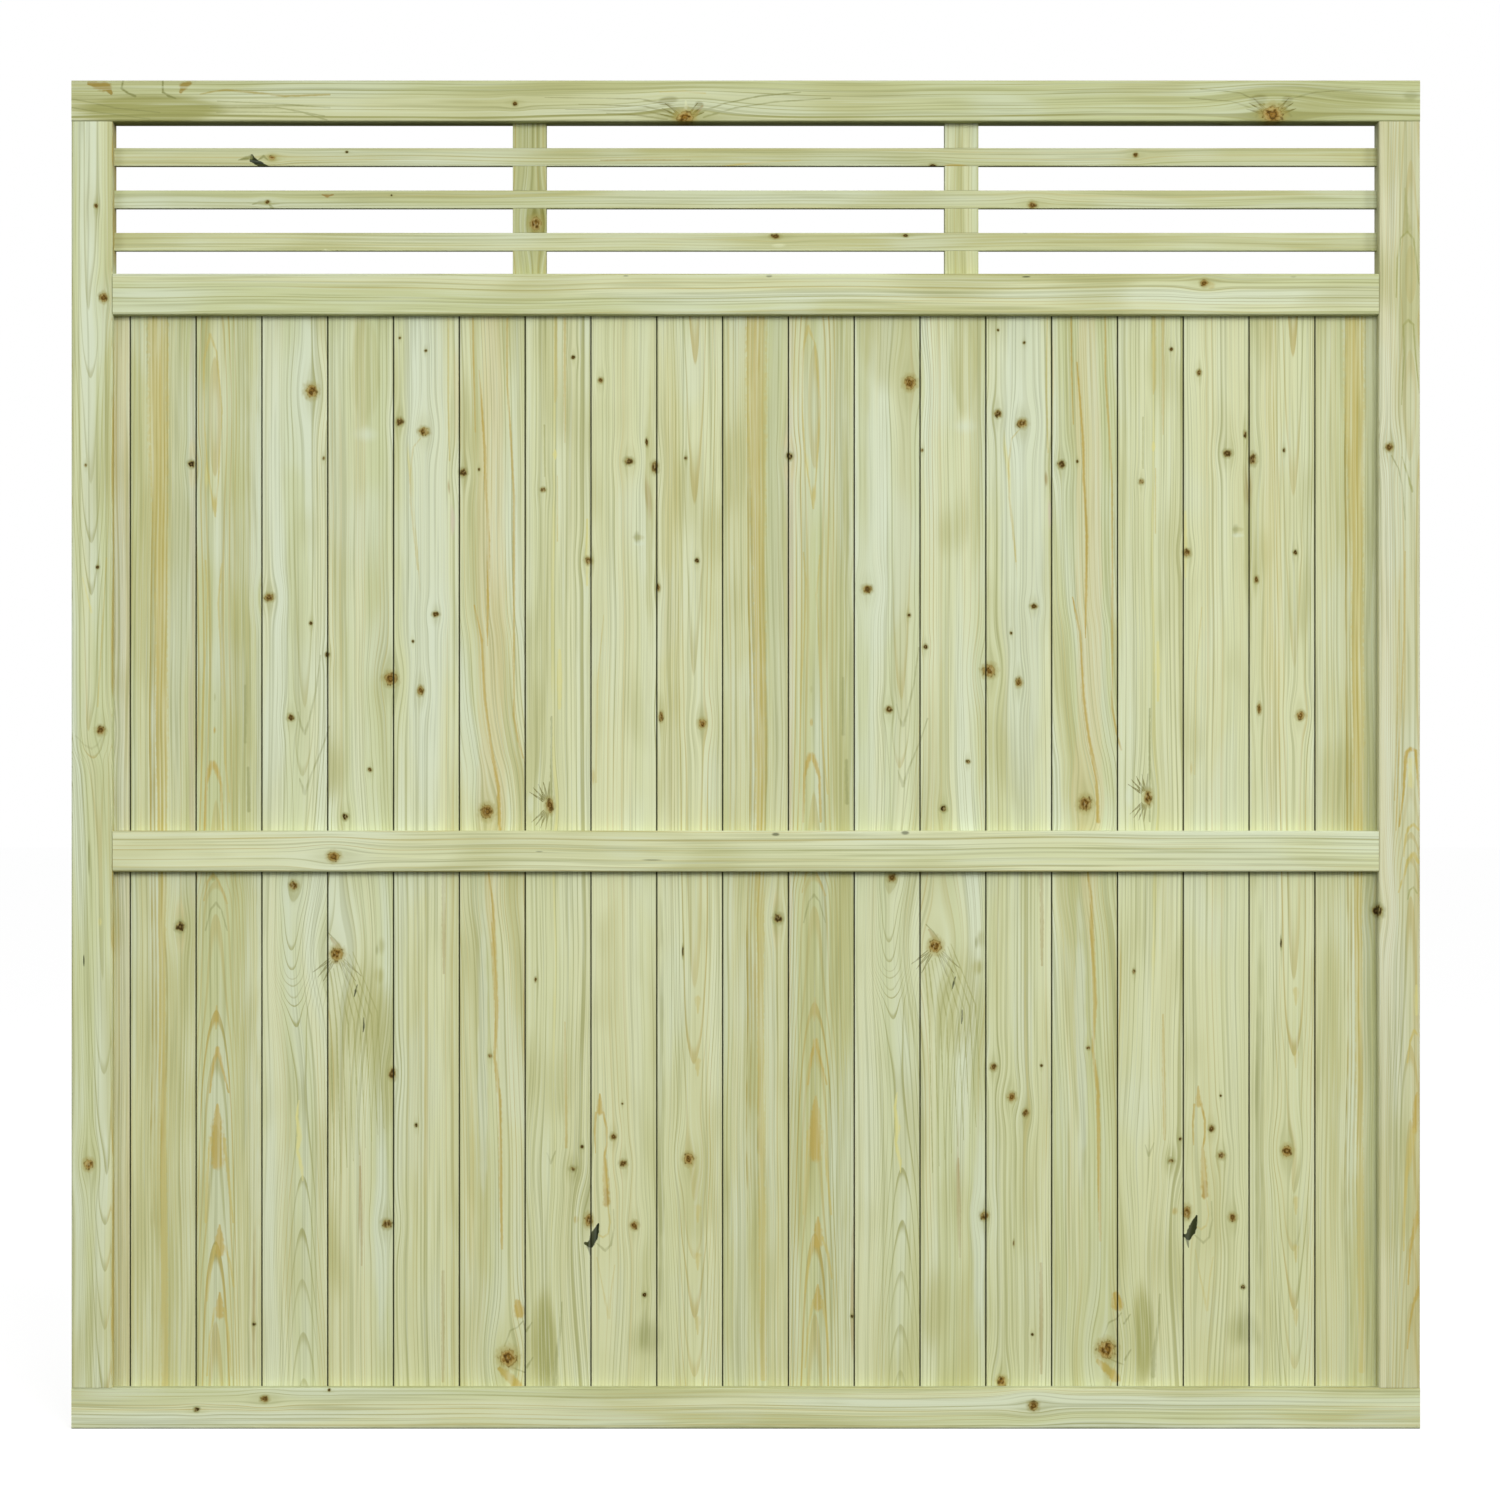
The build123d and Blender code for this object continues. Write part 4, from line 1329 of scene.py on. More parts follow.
FRAME_FIGURES = {
    "top_rail": (LYING_GRAIN, dict(
        pith=1.70, ring=0.0085, contrast=1.5, late=(0.78, 0.95), warmth=-0.4, tone=("khaki", 0.25),
        sway=0.02,
    )),
    "bottom_rail": (LYING_GRAIN, dict(
        pith=-0.15, ring=0.0075, late=(0.74, 0.95), contrast=0.9, tone=("olive", 0.08),
    )),
    "slat_rail": (LYING_GRAIN, dict(
        pith=1.40, ring=0.0070, late=(0.74, 0.95), contrast=0.9, tone=("olive", 0.1),
    )),
    "mid_rail": (LYING_GRAIN, dict(
        pith=0.70, ring=0.0085, late=(0.76, 0.95), contrast=0.9, tone=("cream", 0.6),
    )),
    "left_stile": (UPRIGHT_GRAIN, dict(
        pith=-0.860, levels=LEFT_STILE_LEVELS, drift=LEFT_STILE_DRIFT, area=0.00016, contrast=0.8,
        years=0.4, late=(0.7, 0.93), sway=0.008,
    )),
    "right_stile": (UPRIGHT_GRAIN, dict(
        pith=0.887, levels=RIGHT_STILE_LEVELS, area=0.00016, contrast=0.6, years=0.4, late=(0.6, 0.8),
        warmth=0.3, sway=0.006, tone=("rose", 0.3),
    )),
    "upright_1": (UPRIGHT_GRAIN, dict(pith=-0.35, ring=0.0060, tone=("khaki", 0.5), contrast=1.2)),
    "upright_2": (UPRIGHT_GRAIN, dict(pith=0.20, ring=0.0060, tone=("olive", 0.2), contrast=0.6)),
    "slat_1": (LYING_GRAIN, dict(pith=1.50, ring=0.0060, tone=("khaki", 0.25))),
    "slat_2": (LYING_GRAIN, dict(pith=1.56, ring=0.0060, tone=("khaki", 0.25))),
    "slat_3": (LYING_GRAIN, dict(pith=1.78, ring=0.0060, tone=("khaki", 0.33))),
}
FRAME_KNOTS = {
    "top_rail": [
        (-81, 1750, 11, 8.5, 0.0, 0.95, 0.35, SHARP),
        (703, 1754, 13, 11, 0.0, 0.95, 0.35, SHARP),
        (-308, 1769, 3, 3, 0.6, 0.7),
    ],
    "slat_3": [
        (-634, 1699, 4, 3, 0.1, 0.8),
        (251, 1688, 4.5, 3, 0.9, 0.8),
        (522, 1703, 3, 3, 0.5, 0.7),
        (-534, 1707, 1.8, 1.5, 1.0, 0.3),
    ],
    "slat_2": [
        (-640, 1640, 3, 2.6, 0.7, 0.8),
        (384, 1636, 5, 4.5, 0.4, 0.8),
        (-474, 1649, 1.2, 1.2, 1.0, 0.3),
    ],
    "slat_1": [(40, 1594, 6, 3, 0.6, 0.8), (214, 1595, 3.5, 2, 0.8, 0.5)],
    "upright_1": [(-281, 1611, 8, 9, 0.3, 0.9, 1.0, SHARP)],
    "slat_rail": [(612, 1529, 5, 4.5, 0.2, 0.8)],
    "mid_rail": [(-550, 764, 7.5, 6, 0.15, 0.9)],
    "left_stile": [
        (-867, 1632, 2.5, 3, 0.7, 0.6),
        (-857, 1510, 5, 6, 0.4, 0.8),
        (-861, 932, 5.5, 5.5, 0.4, 0.8),
        (-865, 1150, 2.2, 2.4, 0.9, 0.5),
        (-881, 1286, 1.5, 2.0, 0.8, 0.3),
        (-877, 353, 6, 6.5, 0.1, 0.9),
    ],
    "right_stile": [(859, 1310, 5, 5, 0.6, 0.8), (843, 691, 7, 7.5, 0.9, 0.8)],
    "bottom_rail": [
        (-642, 40, 5, 4, 0.5, 0.8),
        (-733, 26, 3.5, 3, 1.0, 0.5),
        (-556, 52, 1.8, 1.8, 0.9, 0.4),
        (384, 31, 6, 6, 0.4, 0.8),
    ],
}
FRAME_STREAKS = {
    "top_rail": [
        (-795, 1762, 120, 24, 0.6, "khaki", 1.0),
        (760, 1770, 160, 27, 0.4, "khaki", 0.7),
        (888, 1780, 14, 9, 0.3, "moss", 0.5),
        (-104, 1765, 17, 8, 0.5, "umber", 0.45),
        (-62, 1757, 7, 7, 0.5, "umber", 0.6),
        (684, 1763, 15, 8, 0.5, "umber", 0.45),
        (723, 1761, 9, 7, 0.5, "umber", 0.5),
    ],
    "slat_3": [
        (-634, 1698, 13.3, 8.0, 0.2, "olive", 0.7),
        (285, 1689, 22, 3.5, 0.5, "orange", 1.0),
    ],
    "slat_1": [(44, 1585, 12, 5, 0.3, "cream", 0.9), (374, 1596, 6.7, 1.3, 0.4, "bark", 0.8)],
    "slat_rail": [
        (31, 1539, 5, 2, 0.4, "bark", 0.6),
        (374, 1540, 6.7, 1.3, 0.4, "bark", 0.8),
        (-160, 1540, 5, 1.3, 0.4, "bark", 0.6),
        (731, 1538, 5, 2, 0.4, "moss", 0.7),
        (622, 1528, 8, 4, 0.3, "orange", 0.5),
    ],
    # The moss streak along the foot of the bottom rail is painted shade, where the rail meets the floor
    "bottom_rail": [(0, 0, 1100, 7, 0.3, "moss", 0.55)],
    "mid_rail": [
        (-275, 769, 6.7, 1.3, 0.3, "bark", 0.7),
        (-125, 761, 17.4, 1.3, 0.3, "bark", 0.6),
        (40, 796, 6.7, 2.7, 0.4, "bark", 0.7),
        (213, 796, 6.7, 2.7, 0.4, "bark", 0.7),
        (373, 799, 6.7, 2.7, 0.4, "bark", 0.7),
    ],
    "left_stile": [
        # The orange line down the inner edge of the left stile is painted light: it paints on the bright
        # yellow stripe of that lit edge
        (-844, 900, 3.0, 1800, 0.6, "orange", 0.9),
        (-884, 625, 1.5, 9.0, 0.4, "bark", 1.5),
        (-877, 763, 1.6, 28.0, 0.3, "moss", 0.9),
        (-863, 676, 4.0, 8.0, 0.3, "lemon", 0.8),
    ],
    "right_stile": [(896, 420, 9.0, 560, 0.3, "orange", 0.35)],
}

TOP_RAIL_FANS = [
    (-81, 1748, 9, 34, -85, -45, 3, 1.1),
    (-81, 1748, 8, 27, 30, 78, 3, 1.3),
    (703, 1752, 11, 36, -82, -40, 3, 1.2),
    (703, 1752, 11, 33, 35, 80, 3, 1.2),
]
FRAME_PEN_LINES = {
    "top_rail": [
        ("rust", 1.2, 0.6, [(-877, 1796, 2.0), (-862, 1792, 6.0), (-853, 1791, 6.0), (-847, 1783, 2.0)]),
        ("rust", 1.0, 0.6, [(-742, 1796, 2.7), (-750, 1792, 5.3), (-754, 1784, 2.1)]),
        ("moss", 1.0, 0.3, [(-831, 1799, 1.3), (-833, 1789, 1.5), (-825, 1783, 1.7), (-815, 1779, 1.9)]),
        ("moss", 1.0, 0.3, [(-778, 1799, 1.3), (-778, 1784, 1.6), (-770, 1779, 1.6), (-761, 1776, 1.3)]),
        ("resin", 0.85, 0.2, [
            (-728, 1781, 1.1), (-711, 1785, 1.3), (-694, 1787, 1.7), (-671, 1785, 1.9),
            (-615, 1779, 1.6), (-555, 1781, 1.3),
        ]),
        ("moss", 0.6, 0.2, [(-705, 1772, 0.9), (-615, 1768, 1.1), (-555, 1763, 1.1)]),
        ("moss", 0.6, 0.2, [(-714, 1764, 0.9), (-627, 1764, 1.1), (-562, 1752, 1.1)]),
        ("moss", 0.6, 0.2, [(-706, 1757, 0.9), (-592, 1757, 1.1), (-559, 1747, 1.1)]),
        ("moss", 0.6, 0.2, [(-905, 1776, 0.8), (-882, 1772, 1.1), (-841, 1763, 1.1), (-782, 1757, 0.9)]),
        ("moss", 0.6, 0.2, [(-905, 1765, 0.9), (-862, 1757, 1.1), (-795, 1748, 0.9)]),
        ("cream", 0.9, 0.4, [(-80, 1772, 1.1), (-80, 1764, 2.4), (-81, 1757, 3.5)]),
        ("tan", 0.9, 0.4, [(-74, 1748, 1.6), (-66, 1757, 3.7), (-58, 1765, 1.6)]),
        ("honey", 0.7, 0.3, [(-114, 1784, 1.2), (-85, 1785, 1.7), (-54, 1783, 1.2)]),
        ("umber", 0.5, 0.2, [(-268, 1777, 0.5), (-141, 1775, 1.1), (-104, 1767, 2.0), (-88, 1759, 2.4)]),
        ("umber", 0.5, 0.2, [(-223, 1768, 0.5), (-134, 1765, 1.1), (-95, 1755, 2.4)]),
        ("umber", 0.45, 0.2, [(-241, 1761, 0.5), (-134, 1759, 1.1), (-98, 1751, 2.0)]),
        ("umber", 0.45, 0.2, [(-186, 1756, 0.5), (-141, 1753, 1.1), (-105, 1748, 1.6)]),
        ("moss", 0.8, 0.2, [(-61, 1757, 1.5), (-28, 1769, 1.2), (19, 1779, 1.2), (73, 1784, 0.9)]),
        ("moss", 0.7, 0.2, [(-56, 1751, 1.5), (-14, 1763, 1.2), (39, 1771, 1.2), (113, 1776, 0.9)]),
        ("moss", 0.8, 0.3, [(681, 1751, 1.6), (687, 1760, 3.2), (692, 1768, 1.6)]),
        ("moss", 0.8, 0.3, [(711, 1768, 1.6), (719, 1761, 3.7), (728, 1752, 1.6)]),
        ("moss", 0.8, 0.2, [(607, 1788, 0.9), (660, 1783, 1.2), (692, 1768, 1.5)]),
        ("moss", 0.7, 0.2, [(593, 1776, 0.9), (647, 1772, 1.2), (683, 1760, 1.5)]),
        ("moss", 0.7, 0.2, [(716, 1772, 1.2), (760, 1784, 1.2), (820, 1788, 0.9)]),
    ],
    "slat_3": [
        ("bark", 3.0, 0.6, [
            (-661, 1702, 1.6), (-660, 1697, 3.5), (-654, 1693, 3.2), (-646, 1689, 2.7), (-636, 1686, 1.1),
        ]),
        ("moss", 1.0, 0.3, [(-679, 1696, 0.8), (-670, 1698, 2.7), (-663, 1700, 3.7)]),
        ("moss", 1.0, 0.3, [(-652, 1697, 0.8), (-645, 1701, 1.9), (-640, 1697, 0.8)]),
        ("tan", 0.7, 0.2, [(-194, 1696, 0.8), (-134, 1696, 1.2), (-74, 1696, 0.8)]),
        ("honey", 0.8, 0.2, [(-54, 1686, 0.8), (6, 1692, 1.2), (73, 1696, 0.8)]),
    ],
    "slat_2": [
        ("tan", 1.0, 0.4, [(-567, 1650, 0.8), (-560, 1648, 2.4), (-552, 1650, 0.8)]),
        ("moss", 0.7, 0.3, [(-660, 1637, 0.8), (-650, 1640, 1.9), (-640, 1640, 1.3)]),
        ("moss", 0.7, 0.3, [(-640, 1640, 1.3), (-634, 1632, 1.9), (-628, 1628, 0.8)]),
    ],
    "slat_1": [
        ("cream", 1.0, 0.4, [(-574, 1571, 0.8), (-562, 1574, 2.9), (-550, 1572, 0.8)]),
        ("moss", 0.8, 0.2, [(-582, 1574, 0.7), (-566, 1570, 1.1), (-546, 1575, 0.7)]),
    ],
    "left_stile": [
        ("honey", 0.6, 0.2, [(-853, 1162, 1.1), (-860, 1044, 1.3), (-865, 964, 1.2)]),
        ("lemon", 0.8, 0.2, [(-885, 1136, 0.9), (-878, 1108, 1.1), (-873, 1090, 1.7)]),
        ("moss", 0.25, 0.2, [
            (-894, 925, 0.9), (-883, 913, 1.3), (-873, 908, 2.0), (-865, 913, 1.5), (-860, 923, 1.1),
        ]),
    ],
    "right_stile": [
        ("khaki", 0.6, 0.2, [(880, 1656, 0.8), (882, 1624, 2.7), (883, 1600, 5.6)]),
        ("khaki", 0.9, 0.2, [
            (868, 1510, 0.8), (870, 1562, 1.2), (874, 1589, 1.6), (883, 1598, 1.7), (891, 1588, 1.6),
            (895, 1560, 1.3), (899, 1528, 0.8),
        ]),
        ("khaki", 0.9, 0.2, [
            (875, 1367, 0.8), (879, 1433, 1.1), (878, 1473, 1.5), (884, 1480, 2.0), (891, 1474, 1.5),
            (894, 1433, 1.1), (899, 1383, 0.8),
        ]),
        ("khaki", 0.8, 0.2, [(876, 1297, 1.1), (884, 1271, 1.6), (890, 1251, 1.9)]),
        ("moss", 0.6, 0.2, [(862, 1299, 1.1), (871, 1282, 1.1), (876, 1259, 1.1), (880, 1213, 0.8)]),
        ("orange", 0.7, 0.2, [(880, 1171, 0.9), (879, 1063, 1.2), (873, 930, 1.2), (868, 799, 0.9)]),
        ("orange", 0.6, 0.2, [(872, 1106, 0.8), (870, 1039, 1.1), (870, 963, 1.1), (866, 839, 0.8)]),
        ("orange", 1.0, 0.3, [
            (872, 804, 1.1), (878, 849, 1.6), (880, 885, 2.3), (882, 903, 2.8), (887, 908, 2.9),
            (894, 905, 2.4), (896, 884, 1.9), (899, 839, 1.3),
        ]),
        ("lemon", 0.6, 0.3, [(888, 892, 4.7), (888, 859, 4.7)]),
        ("honey", 1.0, 0.2, [
            (878, 764, 1.1), (880, 787, 1.5), (884, 801, 2.0), (891, 807, 2.3), (898, 800, 1.7),
        ]),
        ("honey", 1.0, 0.3, [
            (871, 716, 1.1), (879, 741, 1.6), (884, 759, 2.4), (891, 767, 3.7), (898, 756, 2.4),
        ]),
        ("khaki", 0.8, 0.2, [(884, 707, 0.9), (886, 719, 1.3), (891, 723, 1.6), (896, 715, 1.3)]),
        ("honey", 1.0, 0.2, [(883, 489, 1.1), (887, 518, 1.6), (892, 532, 2.1), (899, 524, 1.6)]),
        ("lemon", 0.6, 0.3, [(895, 592, 1.6), (895, 572, 3.5), (895, 553, 1.6)]),
        ("orange", 1.0, 0.4, [(896, 449, 1.1), (895, 438, 4.0), (894, 414, 4.8), (892, 398, 4.5)]),
        ("honey", 0.9, 0.3, [
            (891, 398, 4.0), (887, 371, 4.8), (882, 337, 2.4), (879, 294, 1.7), (878, 238, 1.1),
        ]),
        ("orange", 0.9, 0.4, [
            (896, 291, 1.1), (895, 278, 4.0), (892, 265, 2.9), (887, 238, 1.6), (884, 193, 1.1),
        ]),
        ("orange", 0.9, 0.4, [
            (898, 190, 1.1), (896, 179, 3.2), (891, 166, 1.9), (886, 138, 1.5), (883, 107, 0.9),
        ]),
    ],
}

FRAME_PEN_LINES["top_rail"] += [fan(*values) for values in TOP_RAIL_FANS]

# %% [markdown]
# The timbers of the frame have their true shape already, mortises and rounded arrises included,
# so they stay as they are and only take their material. Their meshes are loose triangles, and a
# Weld modifier joins them, so that the texture maps of an export don't fall apart into splinters.


# %% Dress the timbers of the frame
def frame_material(name, seed):
    lie, own = FRAME_FIGURES[name]
    low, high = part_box(name)
    figure = {**PLAIN, **own, "face": low.y}
    span = (low.z, high.z) if lie == UPRIGHT_GRAIN else (low.x, high.x)
    knots = [in_metres(mark) for mark in FRAME_KNOTS.get(name, [])]
    streaks = [in_metres(mark) for mark in FRAME_STREAKS.get(name, [])]
    lines = [pen_in_metres(line) for line in FRAME_PEN_LINES.get(name, [])]
    return softwood(f"timber {name}", lie, span, figure, (knots, streaks, lines), seed)


FRAME_MATERIALS = {
    name: frame_material(name, 71.7 + 3.1 * number) for number, name in enumerate(FRAME_FIGURES)
}
REBUILT_SLATS = sorted(name for name in FRAME_FIGURES if name.startswith("slat_") and name[-1].isdigit())
WELD_REACH = 0.01 * MM
for name, material in FRAME_MATERIALS.items():
    if name in REBUILT_SLATS:
        continue
    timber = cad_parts[name]
    timber.material_slots[0].material = material
    timber.modifiers.new("weld", "WELD").merge_threshold = WELD_REACH
    print(name, "dressed")

# %% [markdown]
# The brads are bent and cut from galvanised wire, flat in the wire's plane. Zinc is a dull grey
# with pale and dark blotches, and it is metal, so the gloss comes from its own reflections.

# %% Galvanised steel
ZINC_PALE = colour("#b4b6b5")
ZINC_DARK = colour("#7f8283")
BLOTCH_CELLS = (900, 900, 900)
SCRATCH_CELLS = (2600, 300, 2600)
PALE_BLOTCHES = (0.35, 0.65)
ZINC_ROUGHNESS = 0.3
BLOTCH_ROUGHNESS = 0.3
ZINC_RELIEF = {"Strength": 0.3, "Distance": 0.05 * MM}
ZINC_LOOKS = {"Metallic": 0.85}


def galvanised_steel():
    material, tree = new_material("galvanised steel")
    place = add(tree, "ShaderNodeTexCoord").outputs["Object"]
    blotch = noise(tree, place, BLOTCH_CELLS, 0.0, 2.0)
    scratch = noise(tree, place, SCRATCH_CELLS, 4.0, 1.0)
    zinc = blended(tree, ramp_between(tree, blotch, *PALE_BLOTCHES), ZINC_DARK, ZINC_PALE)
    roughness = maths(tree, "MULTIPLY_ADD", blotch, BLOTCH_ROUGHNESS, ZINC_ROUGHNESS)
    surfaced(tree, zinc, roughness, scratch, ZINC_RELIEF, ZINC_LOOKS)
    return material


STEEL = galvanised_steel()

# %% [markdown]
# Geometry Nodes make what repeats. A tree is built once with named inputs, an empty object
# carries it as a modifier, and the evaluated result is kept as a plain mesh, so that nothing
# live is left on the finished piece.


# %% Run a geometry tree
def set_inputs(modifier, values):
    """Fill a modifier's inputs by the identifiers of the sockets that bear these names."""
    for item in modifier.node_group.interface.items_tree:
        if item.item_type == "SOCKET" and item.in_out == "INPUT" and item.name in values:
            modifier[item.identifier] = values[item.name]


def made_by(tree, name, mesh=None, **values):
    """A plain mesh object, made by a geometry tree with its inputs given by name."""
    piece = bpy.data.objects.new(name, mesh or bpy.data.meshes.new(name))
    bpy.context.scene.collection.objects.link(piece)
    modifier = piece.modifiers.new("make", "NODES")
    modifier.node_group = tree
    set_inputs(modifier, {label.replace("_", " "): value for label, value in values.items()})
    piece.update_tag()
    graph = bpy.context.evaluated_depsgraph_get()
    made = bpy.data.meshes.new_from_object(piece.evaluated_get(graph))
    piece.modifiers.clear()
    piece.data = made
    made.name = name
    return piece


# %% [markdown]
# A brad is one flat outline as thick as its wire: a shank, a small T head and a chisel point.
# The places and lengths of the three groups of brads are read from the construction: each brad
# there is a loose island of its mesh. The hole that a brad makes is the same outline, a little
# larger and open to the face that it went in through.

# %% Outline of a brad
BRAD_SHANK = 1.05 * MM
BRAD_WIRE = 1.25 * MM
BRAD_HEAD = 2.0 * MM
BRAD_HEAD_HEIGHT = 1.0 * MM
BRAD_POINT = 2.5 * MM
BRAD_SET = 0.5 * MM
BRAD_FIT = 0.05 * MM
BRAD_GROUPS = {"joint_brads": "frame_brads", "slat_brads": "lath_brads", "board_brads": "wall_brads"}


def brad_template(name, length, clearance=0.0, rise=0.0):
    """A brad pointing along -Y with the face of its head at the origin."""
    shank = BRAD_SHANK / 2 + clearance
    head = BRAD_HEAD / 2 + clearance
    neck = -BRAD_HEAD_HEIGHT - clearance
    start = BRAD_POINT - length
    tip = -length - clearance
    half = [(head, rise), (head, neck), (shank, neck), (shank, start), (0.0, tip)]
    outline = half + [(-x, y) for x, y in reversed(half[:-1])]
    mesh = bpy.data.meshes.new(name)
    shape = bmesh.new()
    wire = BRAD_WIRE / 2 + clearance
    low = shape.faces.new([shape.verts.new((x, y, -wire)) for x, y in outline])
    raised = bmesh.ops.extrude_face_region(shape, geom=[low])["geom"]
    corners = [part for part in raised if isinstance(part, bmesh.types.BMVert)]
    bmesh.ops.translate(shape, verts=corners, vec=(0, 0, 2 * wire))
    bmesh.ops.recalc_face_normals(shape, faces=shape.faces)
    shape.to_mesh(mesh)
    shape.free()
    template = bpy.data.objects.new(name, mesh)
    bpy.context.scene.collection.objects.link(template)
    return template


def islands(mesh):
    """The loose islands of a mesh, each as the corners of its box."""
    shape = bmesh.new()
    shape.from_mesh(mesh)
    bmesh.ops.remove_doubles(shape, verts=shape.verts, dist=WELD_REACH)
    left = set(shape.verts)
    found = []
    while left:
        open_ends = [left.pop()]
        island = list(open_ends)
        while open_ends:
            for edge in open_ends.pop().link_edges:
                for vert in edge.verts:
                    if vert in left:
                        left.remove(vert)
                        open_ends.append(vert)
                        island.append(vert)
        lows = [min(vert.co[axis] for vert in island) for axis in range(3)]
        highs = [max(vert.co[axis] for vert in island) for axis in range(3)]
        found.append((Vector(lows), Vector(highs)))
    shape.free()
    return found


# %% [markdown]
# One small tree sets a template on every point. It serves the brads and, with the larger
# outline, the holes that the boards need for theirs.


# %% Tree that sets a template on points
def make_scatter_tree():
    tree, given, result = new_group(
        "set on points",
        "GeometryNodeTree",
        {"Geometry": "Geometry", "Template": "Object", "Material": "Material"},
        {"Geometry": "Geometry"},
    )
    template = add(tree, "GeometryNodeObjectInfo", {"Object": given["Template"]}).outputs["Geometry"]
    inputs = {"Points": given["Geometry"], "Instance": template}
    placed = add(tree, "GeometryNodeInstanceOnPoints", inputs).outputs["Instances"]
    solid = add(tree, "GeometryNodeRealizeInstances", {"Geometry": placed}).outputs["Geometry"]
    inputs = {"Geometry": solid, "Material": given["Material"]}
    dressed = add(tree, "GeometryNodeSetMaterial", inputs).outputs["Geometry"]
    fill(tree, result["Geometry"], dressed)
    return tree


SCATTER_TREE = make_scatter_tree()


def points_mesh(name, places):
    mesh = bpy.data.meshes.new(name)
    mesh.from_pydata(places, [], [])
    return mesh


# %% [markdown]
# Every brad in a group has the same length, so one template serves each group. The group's
# brads stay one piece, as the construction has them.

# %% Brads
HOLES_OF_BOARDS = None
for node_name, piece_name in BRAD_GROUPS.items():
    boxes = islands(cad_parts[node_name].data)
    length = boxes[0][1].y - boxes[0][0].y
    heads = [((low.x + high.x) / 2, high.y, (low.z + high.z) / 2) for low, high in boxes]
    template = brad_template("brad template", length)
    spots = points_mesh(piece_name, heads)
    brads = made_by(SCATTER_TREE, piece_name, spots, Template=template, Material=STEEL)
    bpy.data.objects.remove(template)
    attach(brads, "root")
    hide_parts(node_name)
    print(piece_name, len(heads), "brads of", round(length / MM, 1), "mm")
    if node_name == "board_brads":
        cutter = brad_template("hole template", length, BRAD_FIT, 2 * BRAD_SET)
        spots = points_mesh("holes", heads)
        HOLES_OF_BOARDS = made_by(SCATTER_TREE, "holes", spots, Template=cutter, Material=STEEL)
        bpy.data.objects.remove(cutter)

# %% [markdown]
# Boards and slats come off the same machine: a stick of planed timber with its four long edges
# eased. A board then gets a tongue along one edge, a groove along the other, and the holes of
# its brads. So one tree makes both, with a named input for each size. The stick is drawn as a
# section, filled and drawn out to its length, and the rest is joined on or cut away.

# %% Tree that machines a stick of timber
TIMBER_INPUTS = {
    "Length": 1.0,
    "Width": 88 * MM,
    "Thickness": 12 * MM,
    "Arris": 0.7 * MM,
    "Arris steps": 1,
    "Tongued": False,
    "Tongue length": 6 * MM,
    "Tongue thickness": 4 * MM,
    "Grooved": False,
    "Groove depth": 6 * MM,
    "Groove width": 4.3 * MM,
    "Bored": False,
    "Holes": "Object",
    "Turn": "Rotation",
    "Place": "Vector",
    "Material": "Material",
}
PAST_THE_END = 1.1


def moved_block(tree, size, place):
    block = add(tree, "GeometryNodeMeshCube", {"Size": size}).outputs["Mesh"]
    return add(tree, "GeometryNodeTransform", {"Geometry": block, "Translation": place}).outputs["Geometry"]


def combined(tree, operation, first, second):
    node = add(tree, "GeometryNodeMeshBoolean", operation=operation, solver="EXACT")
    if operation == "DIFFERENCE":
        fill(tree, node.inputs["Mesh 1"], first)
    else:
        fill(tree, node.inputs["Mesh 2"], first)
    fill(tree, node.inputs["Mesh 2"], second)
    return node.outputs["Mesh"]


def chosen(tree, switch, otherwise, value):
    inputs = {"Switch": switch, "False": otherwise, "True": value}
    return add(tree, "GeometryNodeSwitch", inputs, input_type="GEOMETRY").outputs["Output"]


def planed_stick(tree, given):
    inputs = {"Width": given["Width"], "Height": given["Thickness"]}
    section = add(tree, "GeometryNodeCurvePrimitiveQuadrilateral", inputs).outputs["Curve"]
    inputs = {"Curve": section, "Count": given["Arris steps"], "Radius": given["Arris"]}
    eased = add(tree, "GeometryNodeFilletCurve", inputs, mode="POLY").outputs["Curve"]
    foot = add(tree, "GeometryNodeFillCurve", {"Curve": eased}, mode="NGONS").outputs["Mesh"]
    inputs = {
        "Mesh": foot,
        "Offset": (0.0, 0.0, 1.0),
        "Offset Scale": given["Length"],
        "Individual": False,
    }
    drawn = add(tree, "GeometryNodeExtrudeMesh", inputs, mode="FACES").outputs["Mesh"]
    turned = add(tree, "GeometryNodeFlipFaces", {"Mesh": foot}).outputs["Mesh"]
    closed = add(tree, "GeometryNodeJoinGeometry")
    for part in (drawn, turned):
        fill(tree, closed.inputs["Geometry"], part)
    inputs = {"Geometry": closed.outputs["Geometry"], "Distance": WELD_REACH}
    return add(tree, "GeometryNodeMergeByDistance", inputs).outputs["Geometry"]


